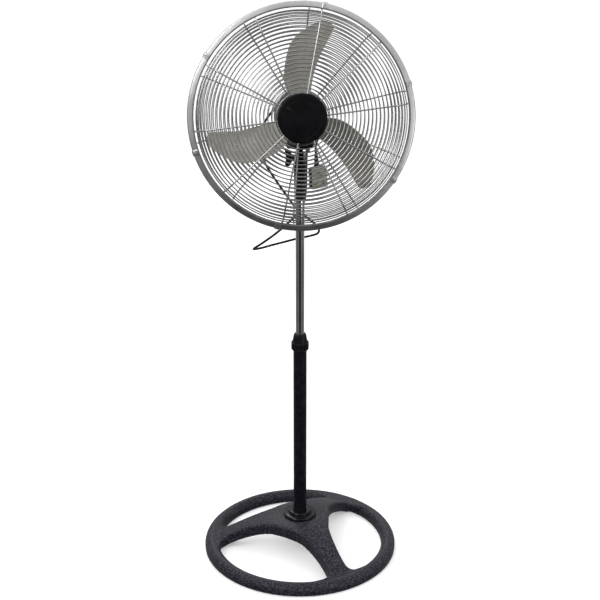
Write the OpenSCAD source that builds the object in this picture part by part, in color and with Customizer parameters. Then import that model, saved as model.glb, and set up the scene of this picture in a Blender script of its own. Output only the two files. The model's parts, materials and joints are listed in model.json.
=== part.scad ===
// Pedestal fan, 450 mm blades: cast ring base, telescopic pole, tilting and oscillating head.
// Millimetres, +Z up. Origin: centre of the base's footprint, on the floor. The fan faces -Y.

/* [Base] */
// Outer radius of the base ring
base_r = 252.5; // [246:0.5:256]
// Width of the base ring, seen from above
ring_w = 36; // [34:1:38]
// Height of the base ring above the floor
ring_h = 30; // [29:1:31]
// Height of the hub's top face above the floor
hub_z = 92; // [90:1:94]
// Turn of the three arms about the pole
arm_turn = -3; // [-8:0.25:5]
// Wall thickness of the casting
wall = 6; // [5:0.5:6]

/* [Pole] */
// Outer radius of the lower tube
low_r = 17; // [17:1:17]
// Height of the top of the lower tube
low_top = 596; // [594:1:598]
// Outer radius of the upper tube
up_r = 11; // [11:1:11]
// Height of the tilt pivot above the floor
pivot_z = 1068; // [1060:1:1076]

/* [Head] */
// Upward tilt of the head as it stands
head_tilt = 12; // [0:1:20]
// Height of the motor's axis above the tilt pivot
axis_up = 101; // [101:0.5:103]
// Radius of the motor's casing
motor_r = 52; // [52:0.5:52.5]
// Turn of the three blades about the motor's axis
blade_turn = -2; // [-30:1:30]
// Pitch of the blades
blade_pitch = 22; // [18:1:24]

/* [Cage] */
// Outer radius of the trim band
band_r = 260.5; // [258:0.5:262]
// Number of spokes in each guard
spokes = 10; // [8:1:12]
// Diameter of the ring wire
ring_wire = 2.8; // [2.4:0.2:2.8]
// Diameter of the spoke wire
spoke_wire = 3.6; // [3:0.2:3.6]

/* [Cord] */
// Diameter of the mains lead
cord_d = 6; // [5.6:0.2:6.2]

/* [Hidden] */
$fn = 48;
eps = 0.01;

// ---- placing ----
module head() { translate([0, 0, pivot_z]) rotate([-head_tilt, 0, 0]) children(); }
// Along the motor's axis: Z forward, Y up
module motor() { head() translate([0, 0, axis_up]) rotate([90, 0, 0]) children(); }
module ring_of(n, a0 = 0) { for (i = [0:n - 1]) rotate([0, 0, a0 + i * 360 / n]) children(); }
module tube(r, ri, h) { difference() { cylinder(r = r, h = h); translate([0, 0, -1]) cylinder(r = ri, h = h + 2); } }

// ---- base ----
function z_top(r) = r <= 46 ? hub_z : hub_z - (hub_z - ring_h + 3) * pow(min(r - 46, 170) / 170, 1.5);
// Half outline of one hole: radius, and angle from the hole's middle
hole = [[76, 0], [79, 15], [88, 30], [106, 40], [131, 46.5], [162, 50.5], [188, 52], [203, 51], [212, 47.5], [218, 42]];
function pol(p) = [p[0] * cos(p[1]), p[0] * sin(p[1])];
hole_pts = concat([for (p = hole) pol(p)], [for (a = [40:-10:-40]) pol([228, a])],
    [for (i = [len(hole) - 1:-1:1]) pol([hole[i][0], -hole[i][1]])]);
module hole_shape() { polygon(hole_pts); }
module crown(deep, r_in, r_out) {
    rotate_extrude($fn = 96) polygon(concat(
        [for (i = [0:12]) let (r = r_in + (r_out - r_in) * i / 12) [r, z_top(r)]],
        [for (i = [12:-1:0]) let (r = r_in + (r_out - r_in) * i / 12) [r, z_top(r) - deep]]));
}
module holes(grow = 0) {
    for (i = [0:2]) rotate([0, 0, arm_turn + i * 120]) translate([0, 0, -5]) linear_extrude(130)
        if (grow > 0) offset(delta = grow) hole_shape(); else hole_shape();
}
module ring_profile(w, h, z0) {
    rm = base_r - ring_w / 2;
    polygon(concat([[rm - w, z0], [rm + w, z0]],
        [for (a = [0:15:180]) [rm + w * cos(a), h - w + w * sin(a)]]));
}
module base_casting() color("#3c3c42") {
    rm = base_r - ring_w / 2;
    difference() {
        union() {
            rotate_extrude($fn = 96) ring_profile(ring_w / 2, ring_h, 2);
            difference() {
                union() {
                    crown(wall, 0, base_r - 30);
                    translate([0, 0, hub_z - 16]) cylinder(r = 44, h = 12);
                    intersection() { crown(30, 60, base_r - 30.5); difference() { holes(wall); holes(); } translate([0, 0, 4]) cylinder(r = base_r, h = 100); }
                }
                holes();
            }
        }
        difference() {
            rotate_extrude($fn = 96) ring_profile(ring_w / 2 - wall, ring_h - wall, 1);
            for (i = [0:5]) rotate([0, 0, 31 + i * 60]) translate([rm, 0, 4]) cylinder(r = 9.5, h = 30);
        }
        translate([0, 0, hub_z - 40]) cylinder(r = 8.3, h = 60);
        for (i = [0:5]) rotate([0, 0, 31 + i * 60]) translate([rm, 0, -1]) cylinder(r = 3, h = 15);
    }
}
module foot_pads() color("#18181a") {
    rm = base_r - ring_w / 2;
    for (i = [0:5]) rotate([0, 0, 31 + i * 60]) translate([rm, 0, 0]) {
        cylinder(r = 9, h = 3.98);
        cylinder(r = 2.95, h = 13);
    }
}
module base_stud() color("silver") {
    translate([0, 0, hub_z - 34]) cylinder(r = 8, h = 35);
    translate([0, 0, hub_z + 0.05]) cylinder(r = low_r - 1.55, h = 18);
}
module base_washer() color("silver") translate([0, 0, hub_z - 18.6]) tube(17, 8.1, 2.5);
module base_nut() color("silver") translate([0, 0, hub_z - 31.7]) difference() {
    cylinder(r = 13.8, h = 13, $fn = 6);
    translate([0, 0, -1]) cylinder(r = 8.02, h = 15);
}
module pole_flange() color("#0c0c0e") translate([0, 0, hub_z + 0.02]) rotate_extrude($fn = 96)
    polygon([[low_r + 0.1, 0], [43, 0], [43, 5], [42.4, 6.6], [41, 7.6], [39, 8], [31, 8], [31, 13],
        [30.4, 14.6], [29, 15.6], [27, 16], [low_r + 0.1, 16]]);
module lower_tube() color("#161618") translate([0, 0, hub_z + 0.05]) tube(low_r, low_r - 1.5, low_top - hub_z);
module guide_bush() color("#202022") difference() {
    union() {
        translate([0, 0, low_top - 36]) cylinder(r = low_r - 1.55, h = 36.5);
        translate([0, 0, low_top + 0.1]) cylinder(r = low_r - 0.2, h = 2);
    }
    translate([0, 0, low_top - 40]) cylinder(r = up_r + 0.05, h = 50);
}
module height_collar() color("#141416") translate([0, 0, low_top - 26]) difference() {
    union() {
        rotate_extrude($fn = 96) polygon([[5, 0], [21.6, 0], [22.25, 1.2], [22.25, 18.8], [21.6, 20], [19, 20.6],
            [19, 22], [17.2, 31], [16.6, 36], [15.6, 40], [14, 42.4], [12.6, 43], [5, 43]]);
    }
    translate([0, 0, -1]) cylinder(r = low_r + 0.06, h = 30);
    translate([0, 0, 28]) cylinder(r1 = low_r + 0.06, r2 = up_r + 0.3, h = 6);
    translate([0, 0, 33]) cylinder(r = up_r + 0.3, h = 12);
    ring_of(20) translate([23.2, 0, 1.5]) cylinder(r = 1.7, h = 17, $fn = 16);
}

// ---- mast ----
module upper_tube() color("#c8c8cc") translate([0, 0, 450]) tube(up_r, up_r - 1.2, pivot_z - 68 - 450);
module tube_guide() color("#202022") translate([0, 0, 450]) tube(low_r - 1.6, up_r + 0.02, 20);
module neck_casting() color("#141416") translate([0, 0, pivot_z - 100]) difference() {
    union() {
        rotate_extrude($fn = 72) polygon([[0, 0], [12.9, 0], [13.5, 0.8], [15.3, 86], [15.3, 88.6], [13.8, 90], [0, 90]]);
        intersection() {
            union() {
                translate([-8, -10, 80]) cube([16, 20, 20]);
                translate([-8, 0, 100]) rotate([0, 90, 0]) cylinder(r = 10, h = 16);
            }
            translate([-20, -20, 60]) cube([40, 40, 60]);
        }
    }
    translate([0, 0, -1]) cylinder(r = up_r + 0.02, h = 33.1);
    translate([-20, 0, 100]) rotate([0, 90, 0]) cylinder(r = 4.05, h = 40);
    translate([0, 8, 17]) rotate([-90, 0, 0]) cylinder(r = 2.55, h = 20);
}
module neck_screw() color("silver") translate([0, up_r + 0.08, pivot_z - 83]) rotate([-90, 0, 0]) {
    cylinder(r = 2.5, h = 6);
    translate([0, 0, 2.9]) cylinder(r = 4.6, h = 3.4);
}
module tilt_bolt() color("silver") translate([0, 0, pivot_z]) rotate([0, 90, 0]) {
    translate([0, 0, -29]) cylinder(r = 4, h = 43);
    translate([0, 0, 13.2]) cylinder(r = 7.5, h = 5, $fn = 6);
}
module tilt_washers() color("silver") translate([0, 0, pivot_z]) rotate([0, 90, 0]) {
    translate([0, 0, 11.45]) tube(8.4, 4.03, 1.7);
    translate([0, 0, -13.15]) tube(8.4, 4.03, 1.7);
}
module tilt_knob() color("#141416") translate([0, 0, pivot_z]) difference() {
    union() {
        rotate([0, -90, 0]) rotate_extrude() polygon([[0, 13.4], [8.4, 13.4], [8.4, 20], [7.6, 30], [6.4, 33], [4, 34], [0, 34]]);
        for (s = [0, 180]) rotate([s, 0, 0]) translate([0, 2.6, 0]) rotate([90, 0, 0]) linear_extrude(5.2)
            polygon([[-16.5, 4], [-19, 8], [-22.5, 17], [-25, 20], [-29, 21], [-33, 20.6], [-35.6, 18.6], [-36.4, 15.5],
                [-35.4, 10], [-33.5, 4]]);
    }
    rotate([0, -90, 0]) cylinder(r = 4.04, h = 29.3);
}

// ---- tilting bracket ----
module tilt_bracket() color("#b4b2a8") head() difference() {
    union() {
        for (x = [-11.3, 8.3]) translate([x, 0, 0]) {
            rotate([0, 90, 0]) cylinder(r = 9.4, h = 3);
            translate([0, -9.4, 0]) cube([3, 18.8, 13]);
        }
        translate([-14, -14, 12]) cube([28, 28, 3]);
        hull() { translate([12, -7, 12]) cube([1, 14, 3]); translate([20, 0, 12]) cylinder(r = 7, h = 3, $fn = 32); }
    }
    translate([-20, 0, 0]) rotate([0, 90, 0]) cylinder(r = 4.05, h = 40);
    translate([0, 0, 8]) cylinder(r = 5, h = 12);
    translate([20, 0, 8]) cylinder(r = 2.5, h = 12);
}
module pivot_pin() color("#1c1c1e") head() difference() {
    union() {
        translate([0, 0, 12]) cylinder(r = 4.98, h = 4);
        translate([0, 0, 15.02]) cylinder(r = 7.25, h = 7.6);
        translate([0, 0, 22.6]) cylinder(r = 6, h = 22.2);
    }
    translate([0, 0, 42.4]) difference() { cylinder(r = 9, h = 1.2); cylinder(r = 5.2, h = 1.2); }
}
module pivot_clip() color("silver") head() translate([0, 0, 42.5]) difference() {
    cylinder(r = 8, h = 1);
    translate([0, 0, -1]) cylinder(r = 5.22, h = 3);
    translate([-2.5, -12, -1]) cube([5, 12, 3]);
}
module link_pin() color("silver") head() translate([20, 0, 12]) {
    cylinder(r = 2.48, h = 4);
    translate([0, 0, 3.02]) cylinder(r = 4.6, h = 2.7);
    translate([0, 0, 3.02]) cylinder(r = 2.9, h = 6.8);
}
// Rod from the fixed pin on the bracket to just below the crank pin
link_a = atan2(50, -20);
module link_rod() color("silver") head() translate([20, 0, 18]) rotate([0, 0, link_a]) difference() {
    union() {
        cylinder(r = 5.6, h = 2.6);
        translate([0, -3, 0]) cube([53.9, 6, 2.6]);
        translate([53.9, 0, 0]) cylinder(r = 5.6, h = 2.6);
    }
    translate([0, 0, -1]) cylinder(r = 2.95, h = 5);
    translate([53.9, 0, -1]) cylinder(r = 2.95, h = 5);
}

// ---- motor ----
module pivot_housing() color("#121214") head() difference() {
    union() {
        translate([0, -4, 23.2]) linear_extrude(50) offset(r = 8) square([48, 36], center = true);
        translate([0, 0, 23.1]) cylinder(r = 13, h = 20);
    }
    translate([0, 0, axis_up]) rotate([90, 0, 0]) translate([0, 0, -60]) cylinder(r = motor_r + 0.08, h = 120, $fn = 96);
    translate([0, 0, 20]) cylinder(r = 9, h = 22);
    translate([0, 0, 41.9]) cylinder(r = 9.6, h = 4.4);
}
module pivot_bush() color("#b08d57") head() translate([0, 0, 23.6]) tube(8.97, 6.05, 18);
module motor_front_shell() color("#121214") motor() {
  difference() { translate([0, 0, 50.2]) cylinder(r = 12, h = 7.4); translate([0, 0, 50]) cylinder(r = 9, h = 14); }
  difference() {
    union() {
        translate([0, 0, 26]) rotate_extrude($fn = 96) polygon([[0, 0], [motor_r, 0], [motor_r, 29], [motor_r - 1.2, 32],
            [motor_r - 4, 34], [0, 34]]);
        translate([0, 0, 59]) cylinder(r = 13, h = 12);
    }
    translate([0, 0, 25]) cylinder(r = motor_r - 2.4, h = 32.5);
    translate([0, 0, 50]) cylinder(r = 9, h = 14);
    translate([0, 0, 60]) cylinder(r = 4.6, h = 20);
    ring_of(4, 45) translate([47.2, 0, 50]) cylinder(r = 1.85, h = 20, $fn = 24);
    ring_of(12, 15) translate([25, -1.6, 55]) cube([14, 3.2, 9]);
  }
}
module motor_rear_shell() color("#121214") motor() {
  difference() { translate([0, 0, -11.7]) cylinder(r = 12, h = 5.7); translate([0, 0, -20]) cylinder(r = 9, h = 15); }
  difference() {
    translate([0, 0, -14]) cylinder(r = motor_r, h = 39.95, $fn = 96);
    translate([0, 0, -11.6]) cylinder(r = motor_r - 2.4, h = 50);
    translate([0, 0, -20]) cylinder(r = 9, h = 14);
    ring_of(4, 45) translate([47.2, 0, -20]) cylinder(r = 1.85, h = 20, $fn = 24);
    ring_of(6, 15) for (s = [-5, 3, 11]) translate([motor_r - 4, -7, s]) cube([8, 14, 3]);
  }
}
module stator_core() color("#6e6e72") motor() translate([0, 0, 10]) difference() {
    cylinder(r = 45.2, h = 24, $fn = 96);
    translate([0, 0, -1]) cylinder(r = 25.4, h = 26);
    ring_of(16) translate([30, 0, -1]) cylinder(r = 3, h = 26, $fn = 24);
}
module stator_windings() color("#a8562a") motor() {
    for (m = [0, 1]) translate([0, 0, m ? 9.9 : 34.1]) mirror([0, 0, m]) rotate_extrude() polygon([[28, 0], [40, 0], [41, 3], [40, 8], [36, 10], [30, 9.5], [27, 6]]);
}
module motor_bearings() color("#b08d57") motor() {
    translate([0, 0, 50.5]) tube(8.98, 4.03, 9);
    translate([0, 0, -14]) tube(8.98, 4.03, 7.8);
}
module motor_screws() color("silver") motor() ring_of(4, 45) translate([47.2, 0, 0]) {
    translate([0, 0, -16.6]) cylinder(r = 1.75, h = 78.5, $fn = 24);
    translate([0, 0, 60.05]) cylinder(r = 3.4, h = 2.2, $fn = 24);
    translate([0, 0, -16.8]) cylinder(r = 3.4, h = 2.7, $fn = 6);
}
// Gears stand behind the motor: worm wheel upright beside the worm, crank gear below
wheel_x = -19.2;
gear_s = -50;
module gear_frame() color("#8c8c90") motor() difference() {
    union() {
        translate([-30, -36, -17.6]) cube([48, 62, 3.5]);
        translate([-32, 20, -64]) cube([28, 4, 47]);
        translate([-30, -36, -64]) cube([48, 4, 47]);
    }
    translate([wheel_x, 40, gear_s]) rotate([90, 0, 0]) cylinder(r = 3.05, h = 90);
    translate([0, 0, gear_s]) rotate([90, 0, 0]) cylinder(r = 3.05, h = 50);
    translate([0, 0, -30]) cylinder(r = 9.2, h = 30);
    ring_of(4, 45) translate([47.2, 0, -30]) cylinder(r = 5, h = 30);
}
module gear(r, h, n, bite) { difference() { cylinder(r = r, h = h, $fn = 64); ring_of(n) translate([r + bite * 0.35, 0, -1]) cylinder(r = bite, h = h + 2, $fn = 16); } }
module worm_wheel() color("#e6e0c8") motor() translate([wheel_x, 0, gear_s]) rotate([-90, 0, 0]) {
    translate([0, 0, -4]) gear(14.8, 8, 24, 1.2);
    translate([0, 0, -34.6]) cylinder(r = 3, h = 36);
    translate([0, 0, -30.2]) gear(4.9, 7, 8, 1.1);
    translate([0, 0, 3]) cylinder(r = 2.4, h = 33);
}
module clutch_knob() color("#141416") motor() translate([wheel_x, 0, gear_s]) rotate([-90, 0, 0]) difference() {
    union() {
        translate([0, 0, 52]) rotate_extrude() polygon([[0, 0], [4.4, 0], [4.6, 6], [7.6, 8], [8.4, 10], [8.4, 15], [7.6, 16.6], [5.6, 17.4], [0, 17.6]]);
        translate([0, 0, 26.2]) cylinder(r = 4, h = 27);
    }
    translate([0, 0, 20]) cylinder(r = 2.46, h = 26);
}
module crank_gear() color("#e6e0c8") motor() translate([0, 0, gear_s]) rotate([-90, 0, 0]) {
    translate([0, 0, -30.2]) gear(13.9, 6, 22, 1.1);
    translate([0, 0, -72]) cylinder(r = 3, h = 46);
    translate([0, 0, -75]) cylinder(r = 15.5, h = 5);
    rotate([0, 0, 35]) translate([11.5, 0, -78.9]) cylinder(r = 2.6, h = 4.4);
}
module gearbox_cover() color("#121214") motor() difference() {
    rotate_extrude($fn = 96) polygon([[0, -14.05], [50, -14.05], [50, -80], [48.8, -86], [45, -90.4], [39, -92], [0, -92]]);
    difference() {
        rotate_extrude($fn = 96) polygon([[0, -10], [48, -10], [48, -80], [46.6, -85], [43.4, -88.4], [38.6, -90], [0, -90]]);
        translate([-30, 18, -91]) cylinder(r = 8, h = 5);
    }
    translate([wheel_x, 35, gear_s]) rotate([-90, 0, 0]) cylinder(r = 5.2, h = 30);
    translate([0, -35, gear_s]) rotate([90, 0, 0]) cylinder(r = 4.4, h = 30);
    translate([0, 0, -100]) cylinder(r = 5.2, h = 20);
    translate([-22, 33, -100]) cylinder(r = 5.05, h = 25);
    ring_of(4, 45) translate([47.2, 0, -18]) cylinder(r = 4.2, h = 8, $fn = 24);
    for (i = [0:6]) for (y = [-30 + 6 * i]) if (abs(y) > 14) for (x = [10, -34]) translate([x, y, -93]) cube([24, 2.2, 5]);
}
module capacitor() color("#d8d8d0") motor() translate([22, -13, -70]) cube([16, 26, 34]);
module speed_switch() color("#e8e8e4") motor() {
    translate([-15, -15, -89.9]) cube([30, 30, 14]);
    translate([0, 0, -92.2]) cylinder(r = 5.1, h = 6);
}
module speed_knob() color("#141416") motor() difference() {
    union() {
        translate([0, 0, -107]) rotate_extrude() polygon([[0, 0], [12, 0], [13.6, 1.4], [14.6, 14], [0, 14]]);
        translate([-2.4, -14, -110]) cube([4.8, 28, 6]);
    }
    translate([0, 0, -96]) cylinder(r = 9, h = 6);
}

// ---- rotor ----
module motor_shaft() color("silver") motor() difference() {
    union() {
        translate([0, 0, -20]) cylinder(r = 4, h = 172);
        translate([0, 0, -62]) cylinder(r = 2.6, h = 44);
        translate([0, 0, -60]) cylinder(r = 4.2, h = 20);
    }
    for (i = [0:5]) translate([0, 0, -58.5 + i * 3]) difference() { cylinder(r = 5, h = 1.4); translate([0, 0, -1]) cylinder(r = 3.2, h = 4); }
}
module rotor_core() color("#77777b") motor() translate([0, 0, 10]) tube(24.9, 4.02, 24);
// Blade seen from the front, before it is pitched: half-width right and left at each radius
blade_out = [[18, 44], [20, 60], [22, 76], [26, 98], [33, 122], [43, 148], [56, 174], [66, 194], [71, 207], [66, 215.5],
    [53, 219], [35, 215], [12, 204], [-12, 187], [-28, 168], [-36, 145], [-41, 118], [-43, 90], [-38, 66], [-30, 52], [-18, 44]];
module blade_frame() { motor() translate([0, 0, 128]) ring_of(3, blade_turn) rotate([0, blade_pitch, 0]) children(); }
module blades() color("#96917f") blade_frame() difference() {
    translate([0, 0, -0.8]) linear_extrude(1.6) polygon([for (p = blade_out) [p[0] / cos(blade_pitch), p[1]]]);
    for (p = [[-10, 52], [10, 52], [0, 68]]) translate([p[0], p[1], -3]) cylinder(r = 2.02, h = 6, $fn = 24);
}
module blade_hub() color("#8c8c90") {
    motor() translate([0, 0, 114]) difference() {
        union() { cylinder(r = 24, h = 12); translate([0, 0, 10]) cylinder(r = 13, h = 16); }
        translate([0, 0, -1]) cylinder(r = 4.02, h = 40);
    }
    blade_frame() difference() {
        translate([-16, 14, -3.3]) cube([32, 62, 2.4]);
        for (p = [[-10, 52], [10, 52], [0, 68]]) translate([p[0], p[1], -6]) cylinder(r = 2.02, h = 8, $fn = 24);
        translate([-20, 0, -6]) cube([40, 20, 10]);
    }
}
module blade_rivets() color("silver") blade_frame() for (p = [[-10, 52], [10, 52], [0, 68]]) translate([p[0], p[1], 0]) {
    translate([0, 0, -3.9]) cylinder(r = 2, h = 5.4, $fn = 24);
    translate([0, 0, 0.85]) rotate_extrude($fn = 24) polygon([[0, 0], [4, 0], [3.4, 1.1], [2, 1.7], [0, 1.9]]);
    translate([0, 0, -4.6]) cylinder(r = 3.4, h = 1.25, $fn = 24);
}
module blade_nut() color("silver") motor() translate([0, 0, 140.1]) difference() {
    cylinder(r = 8, h = 8, $fn = 6);
    translate([0, 0, -1]) cylinder(r = 4.02, h = 10);
}

// ---- guards: each ring's distance forward, from its radius ----
// A gentle slope out to the shoulder, then a quarter of an ellipse over it
sh_r = 205;
sh_w = 35.3;
sh_d = 42;
function slope(r) = 14 * pow(max(min(r, sh_r) - 50, 0) / (sh_r - 50), 1.6);
function over(r) = r <= sh_r ? 0 : sh_d * (1 - sqrt(1 - pow(min((r - sh_r) / sh_w, 1), 2)));
function guard_s(r, front) = front ? 206 - slope(r) - over(r) : 67.9 + slope(r) + over(r);
front_r = concat([for (i = [0:16]) 59 + 9 * i], [211, 219, 226.5, 233, 238.8]);
rear_r = concat([for (i = [0:15]) 68 + 9 * i], [211, 219, 226.5, 233, 238.8]);
module wire_rings(list, front) {
    for (r = list) translate([0, 0, guard_s(r, front)]) rotate_extrude($fn = 96) translate([r, 0]) circle(d = ring_wire, $fn = 20);
    // thicker rim wire, held in the trim band
    translate([0, 0, front ? 140 : 133]) rotate_extrude($fn = 96) translate([248.2, 0]) circle(d = 5, $fn = 24);
}
// One wire swept along points in the plane of a spoke
function unit(v) = v / norm(v);
function ring_pts(p, d, n, rad) = [for (k = [0:n - 1]) let (a = 360 * k / n) [p[0] - rad * cos(a) * d[1], rad * sin(a), p[1] + rad * cos(a) * d[0]]];
module sweep_plane(path, rad, n = 8) {
    m = len(path);
    pts = [for (i = [0:m - 1]) each ring_pts(path[i], unit(path[min(i + 1, m - 1)] - path[max(i - 1, 0)]), n, rad)];
    polyhedron(points = pts, faces = concat([[for (k = [0:n - 1]) k]], [[for (k = [n - 1:-1:0]) (m - 1) * n + k]],
        [for (i = [0:m - 2]) for (k = [0:n - 1]) [i * n + k, (i + 1) * n + k, (i + 1) * n + (k + 1) % n, i * n + (k + 1) % n]]), convexity = 4);
}
// The spoke runs outside its rings by one wire, and ends inside the rim wire
spoke_off = (ring_wire + spoke_wire) / 2 + 0.12;
function spoke_path(front) = let (g = front ? 1 : -1) concat(
    [for (r = [48, 80, 112, 144, 176, 200]) let (ds = 14 * 1.6 * pow(max(r - 50, 0.1) / (sh_r - 50), 0.6) / (sh_r - 50), n = unit([ds, 1]))
        [r + n[0] * spoke_off, guard_s(r, front) + g * n[1] * spoke_off]],
    [for (f = [15:15:90]) let (n = unit([sh_d * sin(f), sh_w * cos(f)]), r = sh_r + sh_w * sin(f))
        [r + n[0] * spoke_off, (front ? 192 - sh_d * (1 - cos(f)) : 81.9 + sh_d * (1 - cos(f))) + g * n[1] * spoke_off]],
    [[sh_r + sh_w + spoke_off - 0.05, front ? 138.5 : 134.5]]);
module front_guard_spokes() color("#a0a0a4") motor() ring_of(spokes, 7) sweep_plane(spoke_path(true), spoke_wire / 2);
module front_guard_rings() color("#a0a0a4") motor() wire_rings(front_r, true);
module rear_guard_spokes() color("#a0a0a4") motor() ring_of(spokes, 13.5) sweep_plane(spoke_path(false), spoke_wire / 2);
module rear_guard_rings() color("#a0a0a4") motor() wire_rings(rear_r, false);
module rear_guard_plate() color("#a0a0a4") motor() translate([0, 0, 60.2]) difference() {
    rotate_extrude($fn = 96) polygon([[13.4, 0], [62, 0], [62.6, 0.7], [62.6, 1.7], [62, 2.4], [13.4, 2.4]]);
    ring_of(4, 45) translate([47.2, 0, -2]) cylinder(r = 4.4, h = 6, $fn = 24);
}
module guard_nut() color("#202022") motor() translate([0, 0, 62.7]) difference() {
    cylinder(r = 21, h = 6);
    translate([0, 0, -1]) cylinder(r = 13.05, h = 9);
    ring_of(10) translate([22, 0, -1]) cylinder(r = 2.6, h = 9, $fn = 16);
}
module trim_band() color("#808084") motor() translate([0, 0, 127]) rotate_extrude($fn = 144)
    polygon([[246.5, 0], [248.5, 0], [258, 1.4], [260, 3.4], [band_r, 8], [band_r, 11], [260, 15.6], [258, 17.6], [248.5, 19], [246.5, 19],
        [246.5, 17.4], [256.6, 15.8], [258.4, 13], [258.4, 6], [256.6, 3.2], [246.5, 1.6]]);
module guard_clips() color("#909094") motor() for (a = [17, 77.7, 147, 198, 257, 325.6]) rotate([0, 0, a]) {
    translate([band_r + 0.1, -6.5, 125.8]) cube([1.6, 13, 21.4]);
    translate([248, -6.5, 146.1]) cube([14, 13, 1.5]);
    translate([248, -6.5, 125.4]) cube([14, 13, 1.5]);
}
module front_hub_plate() color("#707074") motor() translate([0, 0, 205.2]) difference() {
    cylinder(r = 53, h = 2);
    ring_of(3, 30) translate([30, 0, -1]) cylinder(r = 2.1, h = 5, $fn = 24);
}
module front_cap() color("#0c0c0e") motor() {
    rotate_extrude($fn = 96) polygon([[0, 211.4], [55.4, 211.4], [56, 212], [56, 215], [55, 217.2], [52.6, 218.6],
        [40, 219.8], [0, 220.6]]);
    ring_of(3, 30) translate([30, 0, 203.4]) cylinder(r = 2, h = 9, $fn = 24);
}

// ---- cord: runs behind the head, from the gland to the plug ----
function H(p) = [p[0], p[1] * cos(head_tilt) + p[2] * sin(head_tilt), pivot_z - p[1] * sin(head_tilt) + p[2] * cos(head_tilt)];
gl = [-22, 33];
module cord_gland() color("#141416") motor() translate([gl[0], gl[1], -88]) rotate([180, 0, 0]) difference() {
    union() {
        translate([0, 0, 4.1]) cylinder(r1 = 7.6, r2 = 7, h = 4);
        cylinder(r = 5, h = 6);
        translate([0, 0, 8]) cylinder(r1 = 6, r2 = 4.3, h = 22);
    }
}
// Route points of the lead, front of the head to the plug, joined by a smooth curve
route = concat([H([gl[0], 118.05, axis_up + gl[1]]), H([gl[0], 132, axis_up + gl[1]])], [
    [-24, 171, 1168], [-33, 187, 1160], [-50, 197, 1146], [-70, 193, 1126], [-88, 179, 1100], [-97, 164, 1074], [-96, 153, 1048],
    [-84, 145, 1016], [-60, 137, 977], [-34, 130, 940], [-8, 120, 906], [16, 109, 886], [38, 104, 869], [51, 112, 850],
    [48, 130, 832], [29, 146, 820], [-2, 153, 811], [-36, 153, 802], [-67, 150, 795], [-94, 143, 790], [-112, 125, 793],
    [-112, 102, 804], [-93, 84, 823], [-62, 80, 847], [-34, 83, 870], [-8, 90, 894],
    [12, 102, 922], [18, 114, 954], [19, 122, 994], [21, 128, 1066], [23, 131, 1124], [25, 131.5, 1157], [28, 127, 1177], [34, 118, 1188.5],
    [42, 105, 1193.5], [50, 92, 1189.5], [55.5, 82.5, 1177], [57, 79, 1160], [55, 79.5, 1134], [50, 82, 1106], [43.5, 84.5, 1083], [41, 85.6, 1066], [42, 86, 1052]]);
function curve(p, n) = let (m = len(p)) concat([for (i = [0:m - 2]) for (k = [0:n - 1]) let (u = k / n, a = p[max(i - 1, 0)], b = p[i],
    c = p[i + 1], d = p[min(i + 2, m - 1)]) 0.5 * (2 * b + (c - a) * u + (2 * a - 5 * b + 4 * c - d) * u * u + (3 * b - a - 3 * c + d) * u * u * u)], [p[m - 1]]);
module cord_tube(path, rad, n) {
    m = len(path);
    tan = [for (i = [0:m - 1]) unit(path[min(i + 1, m - 1)] - path[max(i - 1, 0)])];
    // each ring's first direction is carried on from the one before, so the tube doesn't twist
    nrm = [for (i = 0, v = unit(cross(tan[0], [1, 0.2, 0.1])); i < m; i = i + 1, v = i < m ? unit(v - tan[i] * (v * tan[i])) : v) v];
    pts = [for (i = [0:m - 1]) let (b = cross(tan[i], nrm[i])) for (k = [0:n - 1]) path[i] + rad * (cos(360 * k / n) * nrm[i] + sin(360 * k / n) * b)];
    polyhedron(points = pts, faces = concat([[for (k = [0:n - 1]) k]], [[for (k = [n - 1:-1:0]) (m - 1) * n + k]],
        [for (i = [0:m - 2]) for (k = [0:n - 1]) [i * n + k, (i + 1) * n + k, (i + 1) * n + (k + 1) % n, i * n + (k + 1) % n]]), convexity = 8);
}
module mains_cord() color("#141416") cord_tube(curve(route, 2), cord_d / 2, 8);
plug_at = [42, 86, 1051.95];
module plug_frame() { translate(plug_at) rotate([0, -4, 25]) children(); }
module plug_body() color("#101012") plug_frame() {
    translate([0, 0, -28]) cylinder(r1 = 6.4, r2 = 4.4, h = 28);
    translate([-22.5, -9, -86]) cube([45, 18, 58]);
}
module plug_pins() color("silver") plug_frame() {
    translate([-2, -26.7, -50]) cube([4, 17.6, 8]);
    for (x = [-14.2, 8]) translate([x, -26.7, -74]) cube([6.2, 17.6, 4]);
}
module pin_card() color("#b0ae98") plug_frame() difference() {
    translate([-21, -12.6, -84]) cube([42, 1.2, 54]);
    translate([-2.1, -20, -50.1]) cube([4.2, 20, 8.2]);
    for (x = [-14.3, 7.9]) translate([x, -20, -74.1]) cube([6.4, 20, 4.2]);
}

base_casting();
foot_pads();
base_stud();
base_washer();
base_nut();
pole_flange();
lower_tube();
guide_bush();
height_collar();
upper_tube();
tube_guide();
neck_casting();
neck_screw();
tilt_bolt();
tilt_washers();
tilt_knob();
tilt_bracket();
pivot_pin();
pivot_clip();
link_pin();
link_rod();
pivot_housing();
pivot_bush();
motor_front_shell();
motor_rear_shell();
stator_core();
stator_windings();
motor_bearings();
motor_screws();
gear_frame();
worm_wheel();
clutch_knob();
crank_gear();
gearbox_cover();
capacitor();
speed_switch();
speed_knob();
motor_shaft();
rotor_core();
blade_hub();
blades();
blade_rivets();
blade_nut();
rear_guard_plate();
guard_nut();
rear_guard_spokes();
rear_guard_rings();
trim_band();
guard_clips();
front_guard_spokes();
front_guard_rings();
front_hub_plate();
front_cap();
cord_gland();
mains_cord();
plug_body();
plug_pins();
pin_card();
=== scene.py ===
# Pedestal fan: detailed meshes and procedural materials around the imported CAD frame.
import json, math
import bpy, bmesh
import numpy as np
from mathutils import Vector, Matrix


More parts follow.
